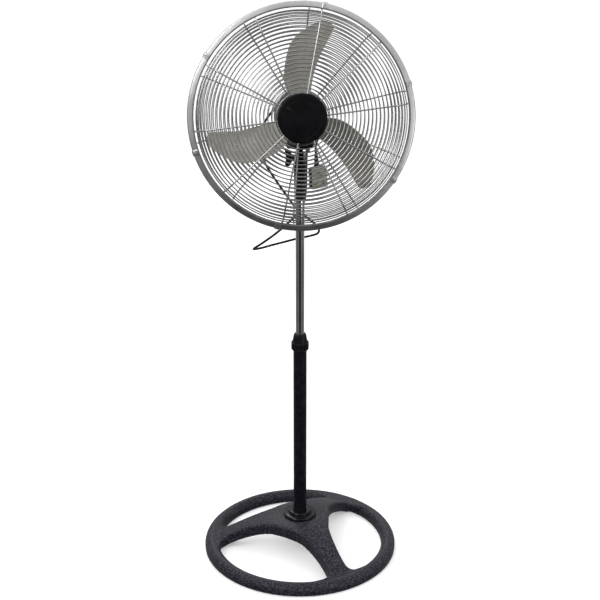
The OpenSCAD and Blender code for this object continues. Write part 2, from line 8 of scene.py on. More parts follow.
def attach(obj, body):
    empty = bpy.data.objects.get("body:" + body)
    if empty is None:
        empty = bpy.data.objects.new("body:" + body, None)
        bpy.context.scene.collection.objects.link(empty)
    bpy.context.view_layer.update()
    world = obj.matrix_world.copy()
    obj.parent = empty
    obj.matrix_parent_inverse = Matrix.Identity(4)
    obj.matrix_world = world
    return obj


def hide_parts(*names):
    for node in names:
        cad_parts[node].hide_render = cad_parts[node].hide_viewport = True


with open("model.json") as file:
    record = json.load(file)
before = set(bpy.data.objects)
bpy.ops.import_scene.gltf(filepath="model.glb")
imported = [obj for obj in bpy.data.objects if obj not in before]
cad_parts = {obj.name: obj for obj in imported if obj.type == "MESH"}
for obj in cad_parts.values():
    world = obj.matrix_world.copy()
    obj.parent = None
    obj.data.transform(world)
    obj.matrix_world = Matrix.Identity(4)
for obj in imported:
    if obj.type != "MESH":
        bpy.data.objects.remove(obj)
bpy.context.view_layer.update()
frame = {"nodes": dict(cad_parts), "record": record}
nodes = frame["nodes"]
scene = bpy.context.scene

# ------------------------------------------------------------------ camera
cam_data = bpy.data.cameras.new("camera")
cam_data.lens, cam_data.sensor_width = 81.8, 36.0
cam_data.clip_start, cam_data.clip_end = 0.05, 200
cam = bpy.data.objects.new("camera", cam_data)
cam.location = (-0.0962, -3.1485, 1.959)
cam.rotation_euler = (math.radians(68.25), 0, math.radians(-1.75))
scene.collection.objects.link(cam)
scene.camera = cam

# ------------------------------------------------------------------ frames, millimetres
TILT = math.radians(12)
PIVOT, AXIS = 1068.0, 101.0
_c, _s = math.cos(TILT), math.sin(TILT)
HR = np.array([[1, 0, 0], [0, _c, _s], [0, -_s, _c]])


def to_world(v, where):
    v = np.asarray(v, float).reshape(-1, 3)
    if where == "motor":
        v = np.stack([v[:, 0], -v[:, 2], AXIS + v[:, 1]], 1)
    if where in ("head", "motor"):
        v = v @ HR.T + np.array([0, 0, PIVOT])
    return v / 1000.0


# ------------------------------------------------------------------ mesh helpers
def make(name, verts, faces, where="world", body="root", material=None, slot=None, replaces=(), angle=38, weld=2e-6, flip=True):
    me = bpy.data.meshes.new(name)
    me.from_pydata(to_world(verts, where).tolist(), [], [tuple(f) for f in faces])
    bm = bmesh.new()
    bm.from_mesh(me)
    if weld:
        bmesh.ops.remove_doubles(bm, verts=bm.verts, dist=weld)
    if flip:
        bmesh.ops.recalc_face_normals(bm, faces=bm.faces)
    bm.to_mesh(me)
    bm.free()
    me.polygons.foreach_set("use_smooth", [True] * len(me.polygons))
    me.set_sharp_from_angle(angle=math.radians(angle))
    ob = bpy.data.objects.new(name, me)
    scene.collection.objects.link(ob)
    if material:
        me.materials.append(material)
    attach(ob, body)
    if replaces:
        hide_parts(*replaces)
    return ob


class Bag:
    """Several meshes gathered into one."""
    def __init__(self):
        self.v, self.f, self.n = [], [], 0

    def add(self, vf, move=None, turn=None):
        v, f = np.asarray(vf[0], float), vf[1]
        if turn is not None:
            v = v @ np.asarray(turn, float).T
        if move is not None:
            v = v + np.asarray(move, float)
        self.v.append(v)
        self.f += [[i + self.n for i in q] for q in f]
        self.n += len(v)
        return self

    def out(self):
        return np.concatenate(self.v), self.f


def rot(axis, deg):
    return np.array(Matrix.Rotation(math.radians(deg), 3, axis))


def fillet(pts, r, seg=4, closed=True):
    """Rounds the corners of an outline; r is one radius or a list."""
    pts = [np.array(p, float) for p in pts]
    n, out = len(pts), []
    rs = r if hasattr(r, "__len__") else [r] * n
    for i, p in enumerate(pts):
        if rs[i] <= 0 or (not closed and i in (0, n - 1)):
            out.append(p)
            continue
        a, b = pts[i - 1], pts[(i + 1) % n]
        u, v = a - p, b - p
        lu, lv = np.linalg.norm(u), np.linalg.norm(v)
        if lu < 1e-6 or lv < 1e-6:
            continue
        u, v = u / lu, v / lv
        th = math.acos(max(-1, min(1, float(u @ v))))
        if th > math.radians(172):
            out.append(p)
            continue
        t = min(rs[i] / math.tan(th / 2), 0.48 * lu, 0.48 * lv)
        rr = t * math.tan(th / 2)
        w = (u + v) / np.linalg.norm(u + v)
        cen = p + w * rr / math.sin(th / 2)
        s, e = p + u * t - cen, p + v * t - cen
        span = math.pi - th
        for k in range(seg + 1):
            q = k / seg
            out.append(cen + (math.sin((1 - q) * span) * s + math.sin(q * span) * e) / math.sin(span))
    return [(float(x), float(y)) for x, y in out]


def lathe(profile, seg=96, closed=True, rfun=None):
    """Turns (r, z) points round Z. closed: the outline closes on itself."""
    p = np.array(profile, float)
    m = len(p)
    a = np.arange(seg) * 2 * math.pi / seg
    v = np.zeros((seg, m, 3))
    for i in range(m):
        r = np.full(seg, p[i, 0])
        if rfun is not None:
            r = rfun(p[i, 0], p[i, 1], a)
        v[:, i, 0], v[:, i, 1], v[:, i, 2] = r * np.cos(a), r * np.sin(a), p[i, 1]
    f = []
    for k in range(seg):
        k2 = (k + 1) % seg
        for i in range(m if closed else m - 1):
            j = (i + 1) % m
            if p[i, 0] < 1e-9 and p[j, 0] < 1e-9:
                continue
            f.append([k * m + i, k2 * m + i, k2 * m + j, k * m + j])
    return v.reshape(-1, 3), f


def extrude(outline, z0, z1, edge=0.6, seg=3):
    """An outline (2D, mm) raised from z0 to z1 with rounded rims. Good for shapes without deep notches."""
    o = np.array(outline, float)
    n = len(o)
    area = 0.5 * np.sum(o[:, 0] * np.roll(o[:, 1], -1) - np.roll(o[:, 0], -1) * o[:, 1])
    if area < 0:
        o = o[::-1]
    d1, d2 = o - np.roll(o, 1, 0), np.roll(o, -1, 0) - o
    nrm = np.stack([(d1 + d2)[:, 1], -(d1 + d2)[:, 0]], 1)
    nrm /= np.maximum(np.linalg.norm(nrm, axis=1), 1e-9)[:, None]
    rows = []
    e = min(edge, (z1 - z0) / 2 * 0.98)
    for k in range(seg + 1):
        t = math.pi / 2 * k / seg
        rows.append((-e * (1 - math.sin(t)), z0 + e * (1 - math.cos(t))))
    for k in range(seg + 1):
        t = math.pi / 2 * (1 - k / seg)
        rows.append((-e * (1 - math.sin(t)), z1 - e * (1 - math.cos(t))))
    v, f = [], []
    for off, z in rows:
        q = o + nrm * off
        v.append(np.column_stack([q, np.full(n, z)]))
    for i in range(len(rows) - 1):
        for k in range(n):
            k2 = (k + 1) % n
            f.append([i * n + k, i * n + k2, (i + 1) * n + k2, (i + 1) * n + k])
    f.append(list(range(n))[::-1])
    f.append([(len(rows) - 1) * n + k for k in range(n)])
    return np.concatenate(v), f


def tube(path, rad, n=10, closed=False, dome=True):
    """A round wire along a path. Rounded ends if it is open."""
    p = np.asarray(path, float)
    m = len(p)
    if closed:
        tan = np.roll(p, -1, 0) - np.roll(p, 1, 0)
    else:
        tan = np.zeros_like(p)
        tan[1:-1], tan[0], tan[-1] = p[2:] - p[:-2], p[1] - p[0], p[-1] - p[-2]
    tan /= np.linalg.norm(tan, axis=1)[:, None]
    r = np.full(m, rad, float) if np.isscalar(rad) else np.asarray(rad, float)
    if not closed and dome:
        pre, post, rp = [], [], []
        for t in (80, 50, 22):
            q = math.radians(t)
            pre.append(p[0] - tan[0] * r[0] * math.sin(q) * 0.6)
            post.append(p[-1] + tan[-1] * r[-1] * math.sin(math.radians(t)) * 0.6)
            rp.append(math.cos(q))
        p = np.concatenate([pre, p, post[::-1]])
        tan = np.concatenate([[tan[0]] * 3, tan, [tan[-1]] * 3])
        r = np.concatenate([[r[0] * x for x in rp], r, [r[-1] * x for x in rp[::-1]]])
        m += 6
    ref = np.array([0.31, 0.52, 0.79]) if abs(tan[0] @ np.array([0.31, 0.52, 0.79])) < 0.9 else np.array([1.0, 0, 0])
    nv = np.cross(tan[0], ref)
    nv /= np.linalg.norm(nv)
    ns = [nv]
    for i in range(1, m):
        nv = ns[-1] - tan[i] * (ns[-1] @ tan[i])
        ns.append(nv / np.linalg.norm(nv))
    ns = np.array(ns)
    bs = np.cross(tan, ns)
    a = np.arange(n) * 2 * math.pi / n
    v = p[:, None] + r[:, None, None] * (np.cos(a)[None, :, None] * ns[:, None] + np.sin(a)[None, :, None] * bs[:, None])
    f = []
    for i in range(m if closed else m - 1):
        j = (i + 1) % m
        for k in range(n):
            k2 = (k + 1) % n
            f.append([i * n + k, i * n + k2, j * n + k2, j * n + k])
    if not closed:
        f.append(list(range(n))[::-1])
        f.append([(m - 1) * n + k for k in range(n)])
    return v.reshape(-1, 3), f


def torus(R, r, z, segR=144, segr=10):
    pr = [(R + r * math.cos(2 * math.pi * k / segr), z + r * math.sin(2 * math.pi * k / segr)) for k in range(segr)]
    return lathe(pr, segR)


# ------------------------------------------------------------------ solids from distance fields
def sd_poly(x, y, pts):
    """Signed distance to a closed outline, negative inside."""
    pts = np.asarray(pts, float)
    d = np.full(x.shape, 1e18)
    inside = np.zeros(x.shape, bool)
    m = len(pts)
    for i in range(m):
        a, b = pts[i], pts[(i + 1) % m]
        e = b - a
        wx, wy = x - a[0], y - a[1]
        t = np.clip((wx * e[0] + wy * e[1]) / max(e @ e, 1e-12), 0, 1)
        d = np.minimum(d, (wx - e[0] * t) ** 2 + (wy - e[1] * t) ** 2)
        c = ((a[1] <= y) & (b[1] > y)) | ((b[1] <= y) & (a[1] > y))
        if c.any():
            xc = a[0] + (y - a[1]) * e[0] / (e[1] if abs(e[1]) > 1e-12 else 1e-12)
            inside ^= c & (x < xc)
    d = np.sqrt(d)
    return np.where(inside, -d, d)


def sd_box(p, lo, hi, r=0.0):
    lo, hi = np.asarray(lo, float), np.asarray(hi, float)
    q = np.abs(p - (lo + hi) / 2) - (hi - lo) / 2 + r
    return np.linalg.norm(np.maximum(q, 0), axis=-1) + np.minimum(q.max(-1), 0) - r


def sd_cyl(p, a, b, r, e=0.0):
    """Cylinder between two points, with rounded rims."""
    a, b = np.asarray(a, float), np.asarray(b, float)
    L = np.linalg.norm(b - a)
    u = (b - a) / L
    h = (p - a) @ u
    rad = np.linalg.norm(p - a - h[..., None] * u, axis=-1)
    q1, q2 = rad - r + e, np.abs(h - L / 2) - L / 2 + e
    return np.minimum(np.maximum(q1, q2), 0) + np.hypot(np.maximum(q1, 0), np.maximum(q2, 0)) - e


def cut_round(a, b, r):
    """Both a and b, with an outer edge of radius r."""
    return np.minimum(-r, np.maximum(a, b)) + np.hypot(np.maximum(r + a, 0), np.maximum(r + b, 0))


def join_round(a, b, r):
    """a or b, with an inner fillet of radius r."""
    return np.maximum(r, np.minimum(a, b)) - np.hypot(np.maximum(r - a, 0), np.maximum(r - b, 0))


def solid(fn, lo, hi, h, relax=2):
    """Quads on the zero surface of a distance field, each vertex pulled on to the surface."""
    lo, hi = np.asarray(lo, float), np.asarray(hi, float)
    n = np.ceil((hi - lo) / h).astype(int) + 1
    ax = [lo[i] + h * np.arange(n[i]) for i in range(3)]
    V = np.empty(n)
    step = max(1, int(4e5 // (n[1] * n[2])))
    for i in range(0, n[0], step):
        g = np.stack(np.meshgrid(ax[0][i:i + step], ax[1], ax[2], indexing="ij"), -1)
        V[i:i + step] = fn(g.reshape(-1, 3)).reshape(g.shape[:3])
    V = np.where(np.abs(V) < 1e-9, 1e-9, V)
    B = V < 0
    cs = [(i, j, k) for i in (0, 1) for j in (0, 1) for k in (0, 1)]
    sl = lambda c: tuple(slice(c[d], n[d] - 1 + c[d]) for d in range(3))
    cnt = sum(B[sl(c)].astype(np.int8) for c in cs)
    act = (cnt > 0) & (cnt < 8)
    idx = np.full(act.shape, -1, np.int64)
    cell = np.argwhere(act)
    idx[act] = np.arange(len(cell))
    acc, num = np.zeros((len(cell), 3)), np.zeros(len(cell))
    vals = {c: V[sl(c)][act] for c in cs}
    for c in cs:
        for d in range(3):
            if c[d]:
                continue
            e = list(c)
            e[d] = 1
            e = tuple(e)
            va, vb = vals[c], vals[e]
            x = (va < 0) != (vb < 0)
            t = np.where(x, va / np.where(x, va - vb, 1), 0)
            pt = np.array(c, float)[None] + np.eye(3)[d][None] * t[:, None]
            acc[x] += pt[x]
            num[x] += 1
    v = lo + h * (cell + acc / num[:, None])
    faces = []
    for d in range(3):
        o = [q for q in range(3) if q != d]
        s0, s1 = [slice(None)] * 3, [slice(None)] * 3
        s0[d], s1[d] = slice(0, n[d] - 1), slice(1, n[d])
        for q in o:
            s0[q] = s1[q] = slice(1, n[q] - 1)
        a, b = B[tuple(s0)], B[tuple(s1)]
        w = np.argwhere(a != b)
        sign = a[a != b]
        base = w.copy()
        for q in o:
            base[:, q] += 1
        corners = []
        for du, dv in ((0, 0), (1, 0), (1, 1), (0, 1)):
            k = base.copy()
            k[:, o[0]] -= du
            k[:, o[1]] -= dv
            corners.append(idx[k[:, 0], k[:, 1], k[:, 2]])
        qd = np.stack(corners, 1)
        flip = sign if d != 1 else ~sign
        qd[~flip] = qd[~flip][:, ::-1]
        faces.append(qd)
    faces = np.concatenate(faces)
    nb = None
    for it in range(relax):
        # even the spacing a little, then go back to the surface
        s, k = np.zeros_like(v), np.zeros(len(v))
        for a, b in ((0, 1), (1, 2), (2, 3), (3, 0)):
            np.add.at(s, faces[:, a], v[faces[:, b]])
            np.add.at(s, faces[:, b], v[faces[:, a]])
            np.add.at(k, faces[:, a], 1)
            np.add.at(k, faces[:, b], 1)
        v = v * 0.5 + 0.5 * s / np.maximum(k, 1)[:, None]
        for _ in range(2):
            e = h * 0.15
            g = np.stack([(fn(v + np.eye(3)[d] * e) - fn(v - np.eye(3)[d] * e)) / (2 * e) for d in range(3)], 1)
            f0 = fn(v)
            st = -f0[:, None] * g / np.maximum((g * g).sum(1), 0.15)[:, None]
            ln = np.linalg.norm(st, axis=1)
            v = v + st * np.minimum(1, h * 0.6 / np.maximum(ln, 1e-9))[:, None]
    return v, faces.tolist()


# ------------------------------------------------------------------ materials
class Mat:
    def __init__(self, name):
        self.m = bpy.data.materials.new(name)
        self.m.use_nodes = True
        self.t = self.m.node_tree
        self.p = self.t.nodes["Principled BSDF"]
        self.co = self.t.nodes.new("ShaderNodeTexCoord").outputs["Object"]

    def link(self, a, b):
        self.t.links.new(a, b)

    def mapped(self, scale):
        n = self.t.nodes.new("ShaderNodeMapping")
        n.inputs["Scale"].default_value = scale
        self.link(self.co, n.inputs["Vector"])
        return n.outputs["Vector"]

    def noise(self, scale, detail=3, rough=0.55, co=None, dist=0.0):
        n = self.t.nodes.new("ShaderNodeTexNoise")
        n.inputs["Scale"].default_value = scale
        n.inputs["Detail"].default_value = detail
        n.inputs["Roughness"].default_value = rough
        n.inputs["Distortion"].default_value = dist
        self.link(co or self.co, n.inputs["Vector"])
        return n.outputs["Fac"]

    def voronoi(self, scale, feature="F1", co=None, out="Distance"):
        n = self.t.nodes.new("ShaderNodeTexVoronoi")
        n.feature = feature
        n.inputs["Scale"].default_value = scale
        self.link(co or self.co, n.inputs["Vector"])
        return n.outputs[out]

    def ramp(self, fac, stops):
        n = self.t.nodes.new("ShaderNodeValToRGB")
        e = n.color_ramp.elements
        while len(e) < len(stops):
            e.new(0.5)
        for k, (at, col) in zip(e, stops):
            k.position = at
            k.color = (*col, 1) if hasattr(col, "__len__") else (col, col, col, 1)
        self.link(fac, n.inputs["Fac"])
        return n.outputs["Color"]

    def span(self, fac, lo, hi, a=0.3, b=0.7):
        n = self.t.nodes.new("ShaderNodeMapRange")
        for k, x in (("From Min", a), ("From Max", b), ("To Min", lo), ("To Max", hi)):
            n.inputs[k].default_value = x
        self.link(fac, n.inputs["Value"])
        return n.outputs["Result"]

    def mix(self, fac, a, b, how="MIX"):
        n = self.t.nodes.new("ShaderNodeMix")
        n.data_type, n.blend_type = "RGBA", how
        ins = {"fac": n.inputs[0], "a": n.inputs[6], "b": n.inputs[7]}
        for k, x in (("fac", fac), ("a", a), ("b", b)):
            if isinstance(x, bpy.types.NodeSocket):
                self.link(x, ins[k])
            else:
                ins[k].default_value = x if k == "fac" else (*x, 1)
        return n.outputs[2]

    def rim_tint(self, lo=0.52, hi=0.6):
        n = self.t.nodes.new("ShaderNodeNewGeometry")
        return self.span(n.outputs["Pointiness"], 0, 1, lo, hi)

    def bump(self, heights):
        """heights: [(socket, strength, distance in metres)], chained."""
        last = None
        for h, s, d in heights:
            n = self.t.nodes.new("ShaderNodeBump")
            n.inputs["Strength"].default_value = s
            n.inputs["Distance"].default_value = d
            self.link(h, n.inputs["Height"])
            if last is not None:
                self.link(last, n.inputs["Normal"])
            last = n.outputs["Normal"]
        self.link(last, self.p.inputs["Normal"])

    def set(self, **k):
        for a, x in k.items():
            self.p.inputs[{"metal": "Metallic", "coat": "Coat Weight", "coat_r": "Coat Roughness", "spec": "Specular IOR Level",
                           "rough": "Roughness", "ior": "IOR", "sheen": "Sheen Weight", "aniso": "Anisotropic"}[a]].default_value = x
        return self

    def color(self, s):
        self.link(s, self.p.inputs["Base Color"])

    def rough(self, s):
        self.link(s, self.p.inputs["Roughness"])


def cast_paint():
    k = Mat("cast_charcoal")
    fleck = k.noise(270, 2, 0.5)
    cloud = k.noise(22, 3, 0.6)
    fine = k.noise(900, 2, 0.5)
    c = k.ramp(fleck, [(0.40, (0.003, 0.003, 0.006)), (0.50, (0.011, 0.011, 0.017)), (0.60, (0.058, 0.058, 0.072))])
    c = k.mix(k.span(cloud, 0, 0.45), c, (0.020, 0.020, 0.028))
    c = k.mix(k.span(fine, 0, 0.5, 0.55, 0.75), c, (0.09, 0.09, 0.11))
    # painted highlight: the convex rims of the casting get a lighter colour (0.13) in place of the light their rounded
    # edges catch
    c = k.mix(k.rim_tint(0.53, 0.60), c, (0.13, 0.13, 0.145))
    k.color(c)
    k.rough(k.span(fleck, 0.34, 0.56))
    k.bump([(fleck, 0.55, 0.0007), (fine, 0.25, 0.0002)])
    k.set(spec=0.14)
    return k.m


def plain(name, c1, c2, rough=(0.3, 0.45), metal=0.0, scale=25, grain=700, bump=0.12, dist=0.0002, coat=0.0, coat_r=0.1, spec=0.5,
          rim_tint=None, fleck=None, spread=(0.35, 0.65)):
    """Cloudy colour from c1 to c2, fine grain in bump and roughness, optional tinted rims and flecks."""
    k = Mat(name)
    cloud = k.noise(scale, 4, 0.6)
    g = k.noise(grain, 2, 0.5)
    c = k.ramp(cloud, [(spread[0], c1), (spread[1], c2)])
    if fleck:
        f = k.noise(fleck[0], 2, 0.5)
        c = k.mix(k.span(f, 0, fleck[1], 0.55, 0.68), c, fleck[2])
    if rim_tint:
        c = k.mix(k.rim_tint(*rim_tint[:2]), c, rim_tint[2])
    k.color(c)
    k.rough(k.span(k.noise(scale * 3.1, 4, 0.65), rough[0], rough[1]))
    k.bump([(g, bump, dist)])
    k.set(metal=metal, coat=coat, coat_r=coat_r, spec=spec)
    return k.m


def drawn(name, c1, c2, rough=(0.06, 0.14), axis=2, lines=900, bump=0.05, metal=1.0, stain=None, scale=14):
    """Metal with faint drawing lines along one world axis."""
    k = Mat(name)
    sc = [lines, lines, lines]
    sc[axis] = lines * 0.012
    ln = k.noise(1.0, 3, 0.6, co=k.mapped(sc))
    cloud = k.noise(scale, 5, 0.65)
    c = k.ramp(cloud, [(0.35, c1), (0.65, c2)])
    if stain:
        c = k.mix(k.span(k.noise(stain[0], 6, 0.7), 0, stain[1], 0.5, 0.72), c, stain[2])
    k.color(c)
    k.rough(k.span(ln, rough[0], rough[1]))
    k.bump([(ln, bump, 0.0001)])
    k.set(metal=metal)
    return k.m


MAT = {
    "cast": cast_paint(),
    "rubber": plain("pad_rubber", (0.012, 0.012, 0.012), (0.03, 0.03, 0.03), (0.65, 0.85), grain=1500, bump=0.25, fleck=(500, 0.3, (0.05, 0.05, 0.05))),
    "gloss": plain("flange_gloss_black", (0.004, 0.004, 0.005), (0.010, 0.010, 0.012), (0.10, 0.20), scale=40, grain=420, bump=0.06, coat=0.16, coat_r=0.05, spec=0.08,
                   rim_tint=(0.55, 0.66, (0.05, 0.05, 0.055))),
    "tube": plain("tube_satin_black", (0.003, 0.003, 0.005), (0.010, 0.010, 0.014), (0.24, 0.40), scale=60, grain=650, bump=0.22, dist=0.00025, spec=0.12,
                  fleck=(380, 0.35, (0.035, 0.035, 0.045))),
    "collar": plain("collar_moulded_black", (0.004, 0.004, 0.006), (0.010, 0.010, 0.013), (0.34, 0.5), scale=50, grain=1100, bump=0.2, spec=0.12,
                    rim_tint=(0.53, 0.62, (0.06, 0.06, 0.066))),
    "neck": plain("neck_satin_black", (0.004, 0.004, 0.005), (0.011, 0.011, 0.013), (0.28, 0.42), scale=45, grain=600, bump=0.2, spec=0.15,
                  rim_tint=(0.54, 0.64, (0.06, 0.06, 0.065))),
    "motor": plain("motor_satin_black", (0.007, 0.007, 0.008), (0.018, 0.018, 0.02), (0.28, 0.42), scale=35, grain=500, bump=0.22, spec=0.15,
                   rim_tint=(0.54, 0.64, (0.07, 0.07, 0.075))),
    "cap": plain("cap_moulded_black", (0.0025, 0.0025, 0.003), (0.006, 0.006, 0.0075), (0.38, 0.5), scale=30, grain=900, bump=0.12, spec=0.07,
                 rim_tint=(0.55, 0.68, (0.03, 0.03, 0.033))),
    "nylon": plain("nylon_black", (0.012, 0.012, 0.013), (0.03, 0.03, 0.032), (0.42, 0.56), grain=900, bump=0.15, rim_tint=(0.54, 0.64, (0.08, 0.08, 0.085))),
    "chrome": drawn("tube_chrome", (0.50, 0.50, 0.49), (0.62, 0.62, 0.61), (0.07, 0.16), axis=2, stain=(60, 0.35, (0.33, 0.33, 0.31))),
    "wire": plain("guard_wire_chrome", (0.34, 0.34, 0.345), (0.48, 0.48, 0.485), (0.18, 0.30), metal=1.0, scale=9, grain=900, bump=0.05),
    "band": plain("band_chrome", (0.46, 0.46, 0.47), (0.60, 0.60, 0.61), (0.26, 0.38), metal=1.0, scale=6, grain=350, bump=0.04,
                  fleck=(160, 0.2, (0.36, 0.36, 0.37))),
    "blade": plain("blade_satin_metal", (0.27, 0.26, 0.225), (0.36, 0.345, 0.30), (0.36, 0.50), metal=0.12, scale=16, grain=320, bump=0.10,
                   fleck=(240, 0.35, (0.22, 0.205, 0.17))),
    "hub": plain("hub_cast_alloy", (0.34, 0.34, 0.34), (0.5, 0.5, 0.5), (0.3, 0.45), metal=0.9, grain=500, bump=0.2, rim_tint=(0.53, 0.62, (0.7, 0.7, 0.7))),
    "zinc": plain("zinc_plated", (0.42, 0.42, 0.40), (0.62, 0.61, 0.57), (0.2, 0.38), metal=1.0, scale=120, grain=1300, bump=0.08,
                  fleck=(300, 0.4, (0.34, 0.34, 0.31))),
    "bracket": plain("bracket_plated", (0.50, 0.48, 0.42), (0.68, 0.66, 0.60), (0.2, 0.36), metal=1.0, scale=110, grain=1100, bump=0.1,
                     fleck=(260, 0.5, (0.24, 0.22, 0.15))),
    "bronze": plain("sintered_bronze", (0.36, 0.24, 0.11), (0.52, 0.36, 0.18), (0.35, 0.5), metal=1.0, scale=140, grain=2200, bump=0.3),
    "iron": plain("laminated_steel", (0.16, 0.16, 0.165), (0.28, 0.28, 0.29), (0.35, 0.5), metal=0.9, scale=60, grain=900, bump=0.2),
    "copper": drawn("enamelled_copper", (0.30, 0.10, 0.04), (0.50, 0.20, 0.08), (0.22, 0.36), axis=1, lines=1600, bump=0.4, metal=0.7),
    "acetal": plain("acetal_gear", (0.62, 0.58, 0.46), (0.74, 0.70, 0.58), (0.35, 0.5), scale=80, grain=900, bump=0.1),
    "alloy": plain("gearbox_alloy", (0.26, 0.26, 0.27), (0.40, 0.40, 0.41), (0.35, 0.5), metal=0.9, scale=70, grain=700, bump=0.3),
    "white": plain("off_white_moulding", (0.55, 0.55, 0.50), (0.66, 0.66, 0.62), (0.35, 0.5), scale=60, grain=900, bump=0.1),
    "cord": plain("cord_black_pvc", (0.004, 0.004, 0.005), (0.011, 0.011, 0.013), (0.36, 0.5), scale=90, grain=1400, bump=0.22, spec=0.2),
    "plug": plain("plug_black_moulding", (0.006, 0.006, 0.007), (0.014, 0.014, 0.016), (0.28, 0.42), scale=60, grain=1200, bump=0.15,
                  rim_tint=(0.54, 0.64, (0.05, 0.05, 0.055))),
    "pin": drawn("pin_nickel", (0.60, 0.56, 0.42), (0.74, 0.70, 0.56), (0.14, 0.26), axis=0, lines=1500, bump=0.08),
}


def card_board():
    k = Mat("grey_card")
    big = k.noise(240, 2, 0.5)
    fib = k.noise(1.0, 4, 0.7, co=k.mapped((500, 500, 2600)))
    c = k.ramp(fib, [(0.3, (0.44, 0.44, 0.36)), (0.7, (0.60, 0.60, 0.49))])
    c = k.mix(k.span(big, 0, 0.6, 0.58, 0.66), c, (0.10, 0.11, 0.07))
    k.color(c)
    k.rough(k.span(fib, 0.6, 0.85))
    k.bump([(fib, 0.3, 0.0002)])
    return k.m


MAT["card"] = card_board()


# ------------------------------------------------------------------ cord: the same route as its CAD solid
def HP(x, y, z):
    return tuple(float(q) * 1000 for q in to_world([(x, y, z)], "head")[0])


ROUTE = [HP(-22, 118.05, 134), HP(-22, 132, 134),
         (-24, 171, 1168), (-33, 187, 1160), (-50, 197, 1146), (-70, 193, 1126), (-88, 179, 1100), (-97, 164, 1074), (-96, 153, 1048),
         (-84, 145, 1016), (-60, 137, 977), (-34, 130, 940), (-8, 120, 906), (16, 109, 886), (38, 104, 869), (51, 112, 850),
         (48, 130, 832), (29, 146, 820), (-2, 153, 811), (-36, 153, 802), (-67, 150, 795), (-94, 143, 790), (-112, 125, 793),
         (-112, 102, 804), (-93, 84, 823), (-62, 80, 847), (-34, 83, 870), (-8, 90, 894), (12, 102, 922), (18, 114, 954),
         (19, 122, 994), (21, 128, 1066), (23, 131, 1124), (25, 131.5, 1157), (28, 127, 1177), (34, 118, 1188.5),
         (42, 105, 1193.5), (50, 92, 1189.5), (55.5, 82.5, 1177), (57, 79, 1160), (55, 79.5, 1134), (50, 82, 1106),
         (43.5, 84.5, 1083), (41, 85.6, 1066), (42, 86, 1052)]


def catmull(P, n):
    P = [np.array(p, float) for p in P]
    out, m = [], len(P)
    for i in range(m - 1):
        a, b, c, d = P[max(i - 1, 0)], P[i], P[i + 1], P[min(i + 2, m - 1)]
        for k in range(n):
            u = k / n
            out.append(0.5 * (2 * b + (c - a) * u + (2 * a - 5 * b + 4 * c - d) * u * u + (3 * b - a - 3 * c + d) * u ** 3))
    out.append(P[-1])
    return np.array(out)


line = catmull(ROUTE, 8) / 1000
cu = bpy.data.curves.new("mains_lead", "CURVE")
cu.dimensions = "3D"
sp = cu.splines.new("POLY")
sp.points.add(len(line) - 1)
for q, p in zip(sp.points, line):
    q.co = (*p, 1)
cu.bevel_depth, cu.bevel_resolution, cu.use_fill_caps = 0.003, 4, True
cu.materials.append(MAT["cord"])
lead = bpy.data.objects.new("mains_lead", cu)
scene.collection.objects.link(lead)
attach(lead, "head")
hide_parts("mains_cord")

# strain relief at the gearbox: a ribbed cone on a collar
prof = [(3.05, -4.2), (7.2, -4.2), (7.6, -4.8), (7.4, -8.2), (6.2, -8.8)]
z, r = -9.4, 6.1
for i in range(5):
    prof += [(r, z), (r - 0.15, z - 2.4), (r - 1.15, z - 2.9), (r - 1.2, z - 3.9)]
    z, r = z - 4.3, r - 0.36
prof += [(4.2, -30.0), (3.06, -30.3)]
v, f = lathe(fillet([(a, b) for a, b in prof], 0.35, 3), 48)
gland = make("lead_strain_relief", v + np.array([-22, 33, -84.0 - 4]) * np.array([1, 1, 1]), f, "motor", "head", MAT["cord"], "cord_black", ["cord_gland"])

# ------------------------------------------------------------------ plug, upside up under its lead
PL = np.array([42.0, 86.0, 1051.95])
RP = rot("Z", 25) @ rot("Y", -4)


def hung(v, f):
    """The plug's own frame (lead's end at the origin, plug below it) to its place."""
    return np.asarray(v) @ RP.T + PL, f


def plug_fn(p):
    body = sd_box(p, (-22.5, -9, -86), (22.5, 9, -30), 6.5)
    # shoulders narrow towards the lead, and a grip is sunk into both sides
    sh = (np.abs(p[:, 0]) * 0.78 + (p[:, 2] + 30) * 0.62) - 12.5
    body = cut_round(body, sh, 4)
    for s in (-1, 1):
        grip = np.linalg.norm(p[:, [0, 2]] - np.array([s * 42.0, -58]), axis=1) - 22
        body = cut_round(body, -grip, 2.5)
    for i in range(5):
        groove = np.maximum(np.abs(p[:, 2] + 50 + i * 4.2) - 0.8, np.abs(p[:, 0]) - 13)
        groove = np.maximum(groove, 8.3 - p[:, 1])
        body = np.maximum(body, -groove)
    return body


bag = Bag().add(solid(plug_fn, (-24, -10.5, -87.5), (24, 10.5, -28), 0.9))
prof = [(3.05, 0.2), (4.3, -0.1)]
z, r = -1.0, 4.5
for i in range(6):
    prof += [(r, z), (r + 0.12, z - 2.4), (r - 0.9, z - 2.8), (r - 0.85, z - 3.7)]
    z, r = z - 4.1, r + 0.34
prof += [(7.2, -26.0), (7.8, -31), (3.05, -31)]
bag.add(lathe(fillet(prof, 0.35, 3), 48))
plug = make("mains_plug_body", *hung(*bag.out()), "world", "head", MAT["plug"], "cord_black", ["plug_body"], weld=0)

bag = Bag()
for x0, x1, z0, z1 in ((-2, 2, -50, -42), (-14.2, -8, -74, -70), (8, 14.2, -74, -70)):
    o = fillet([(x0, z0), (x1, z0), (x1, z1), (x0, z1)], 0.7, 3)
    w, g = extrude(o, 9.05, 26.7, 0.8, 3)
    bag.add((np.column_stack([w[:, 0], -w[:, 2], w[:, 1]]), g))
pins = make("mains_plug_pins", *hung(*bag.out()), "world", "head", MAT["pin"], "pin_metal", ["plug_pins"])


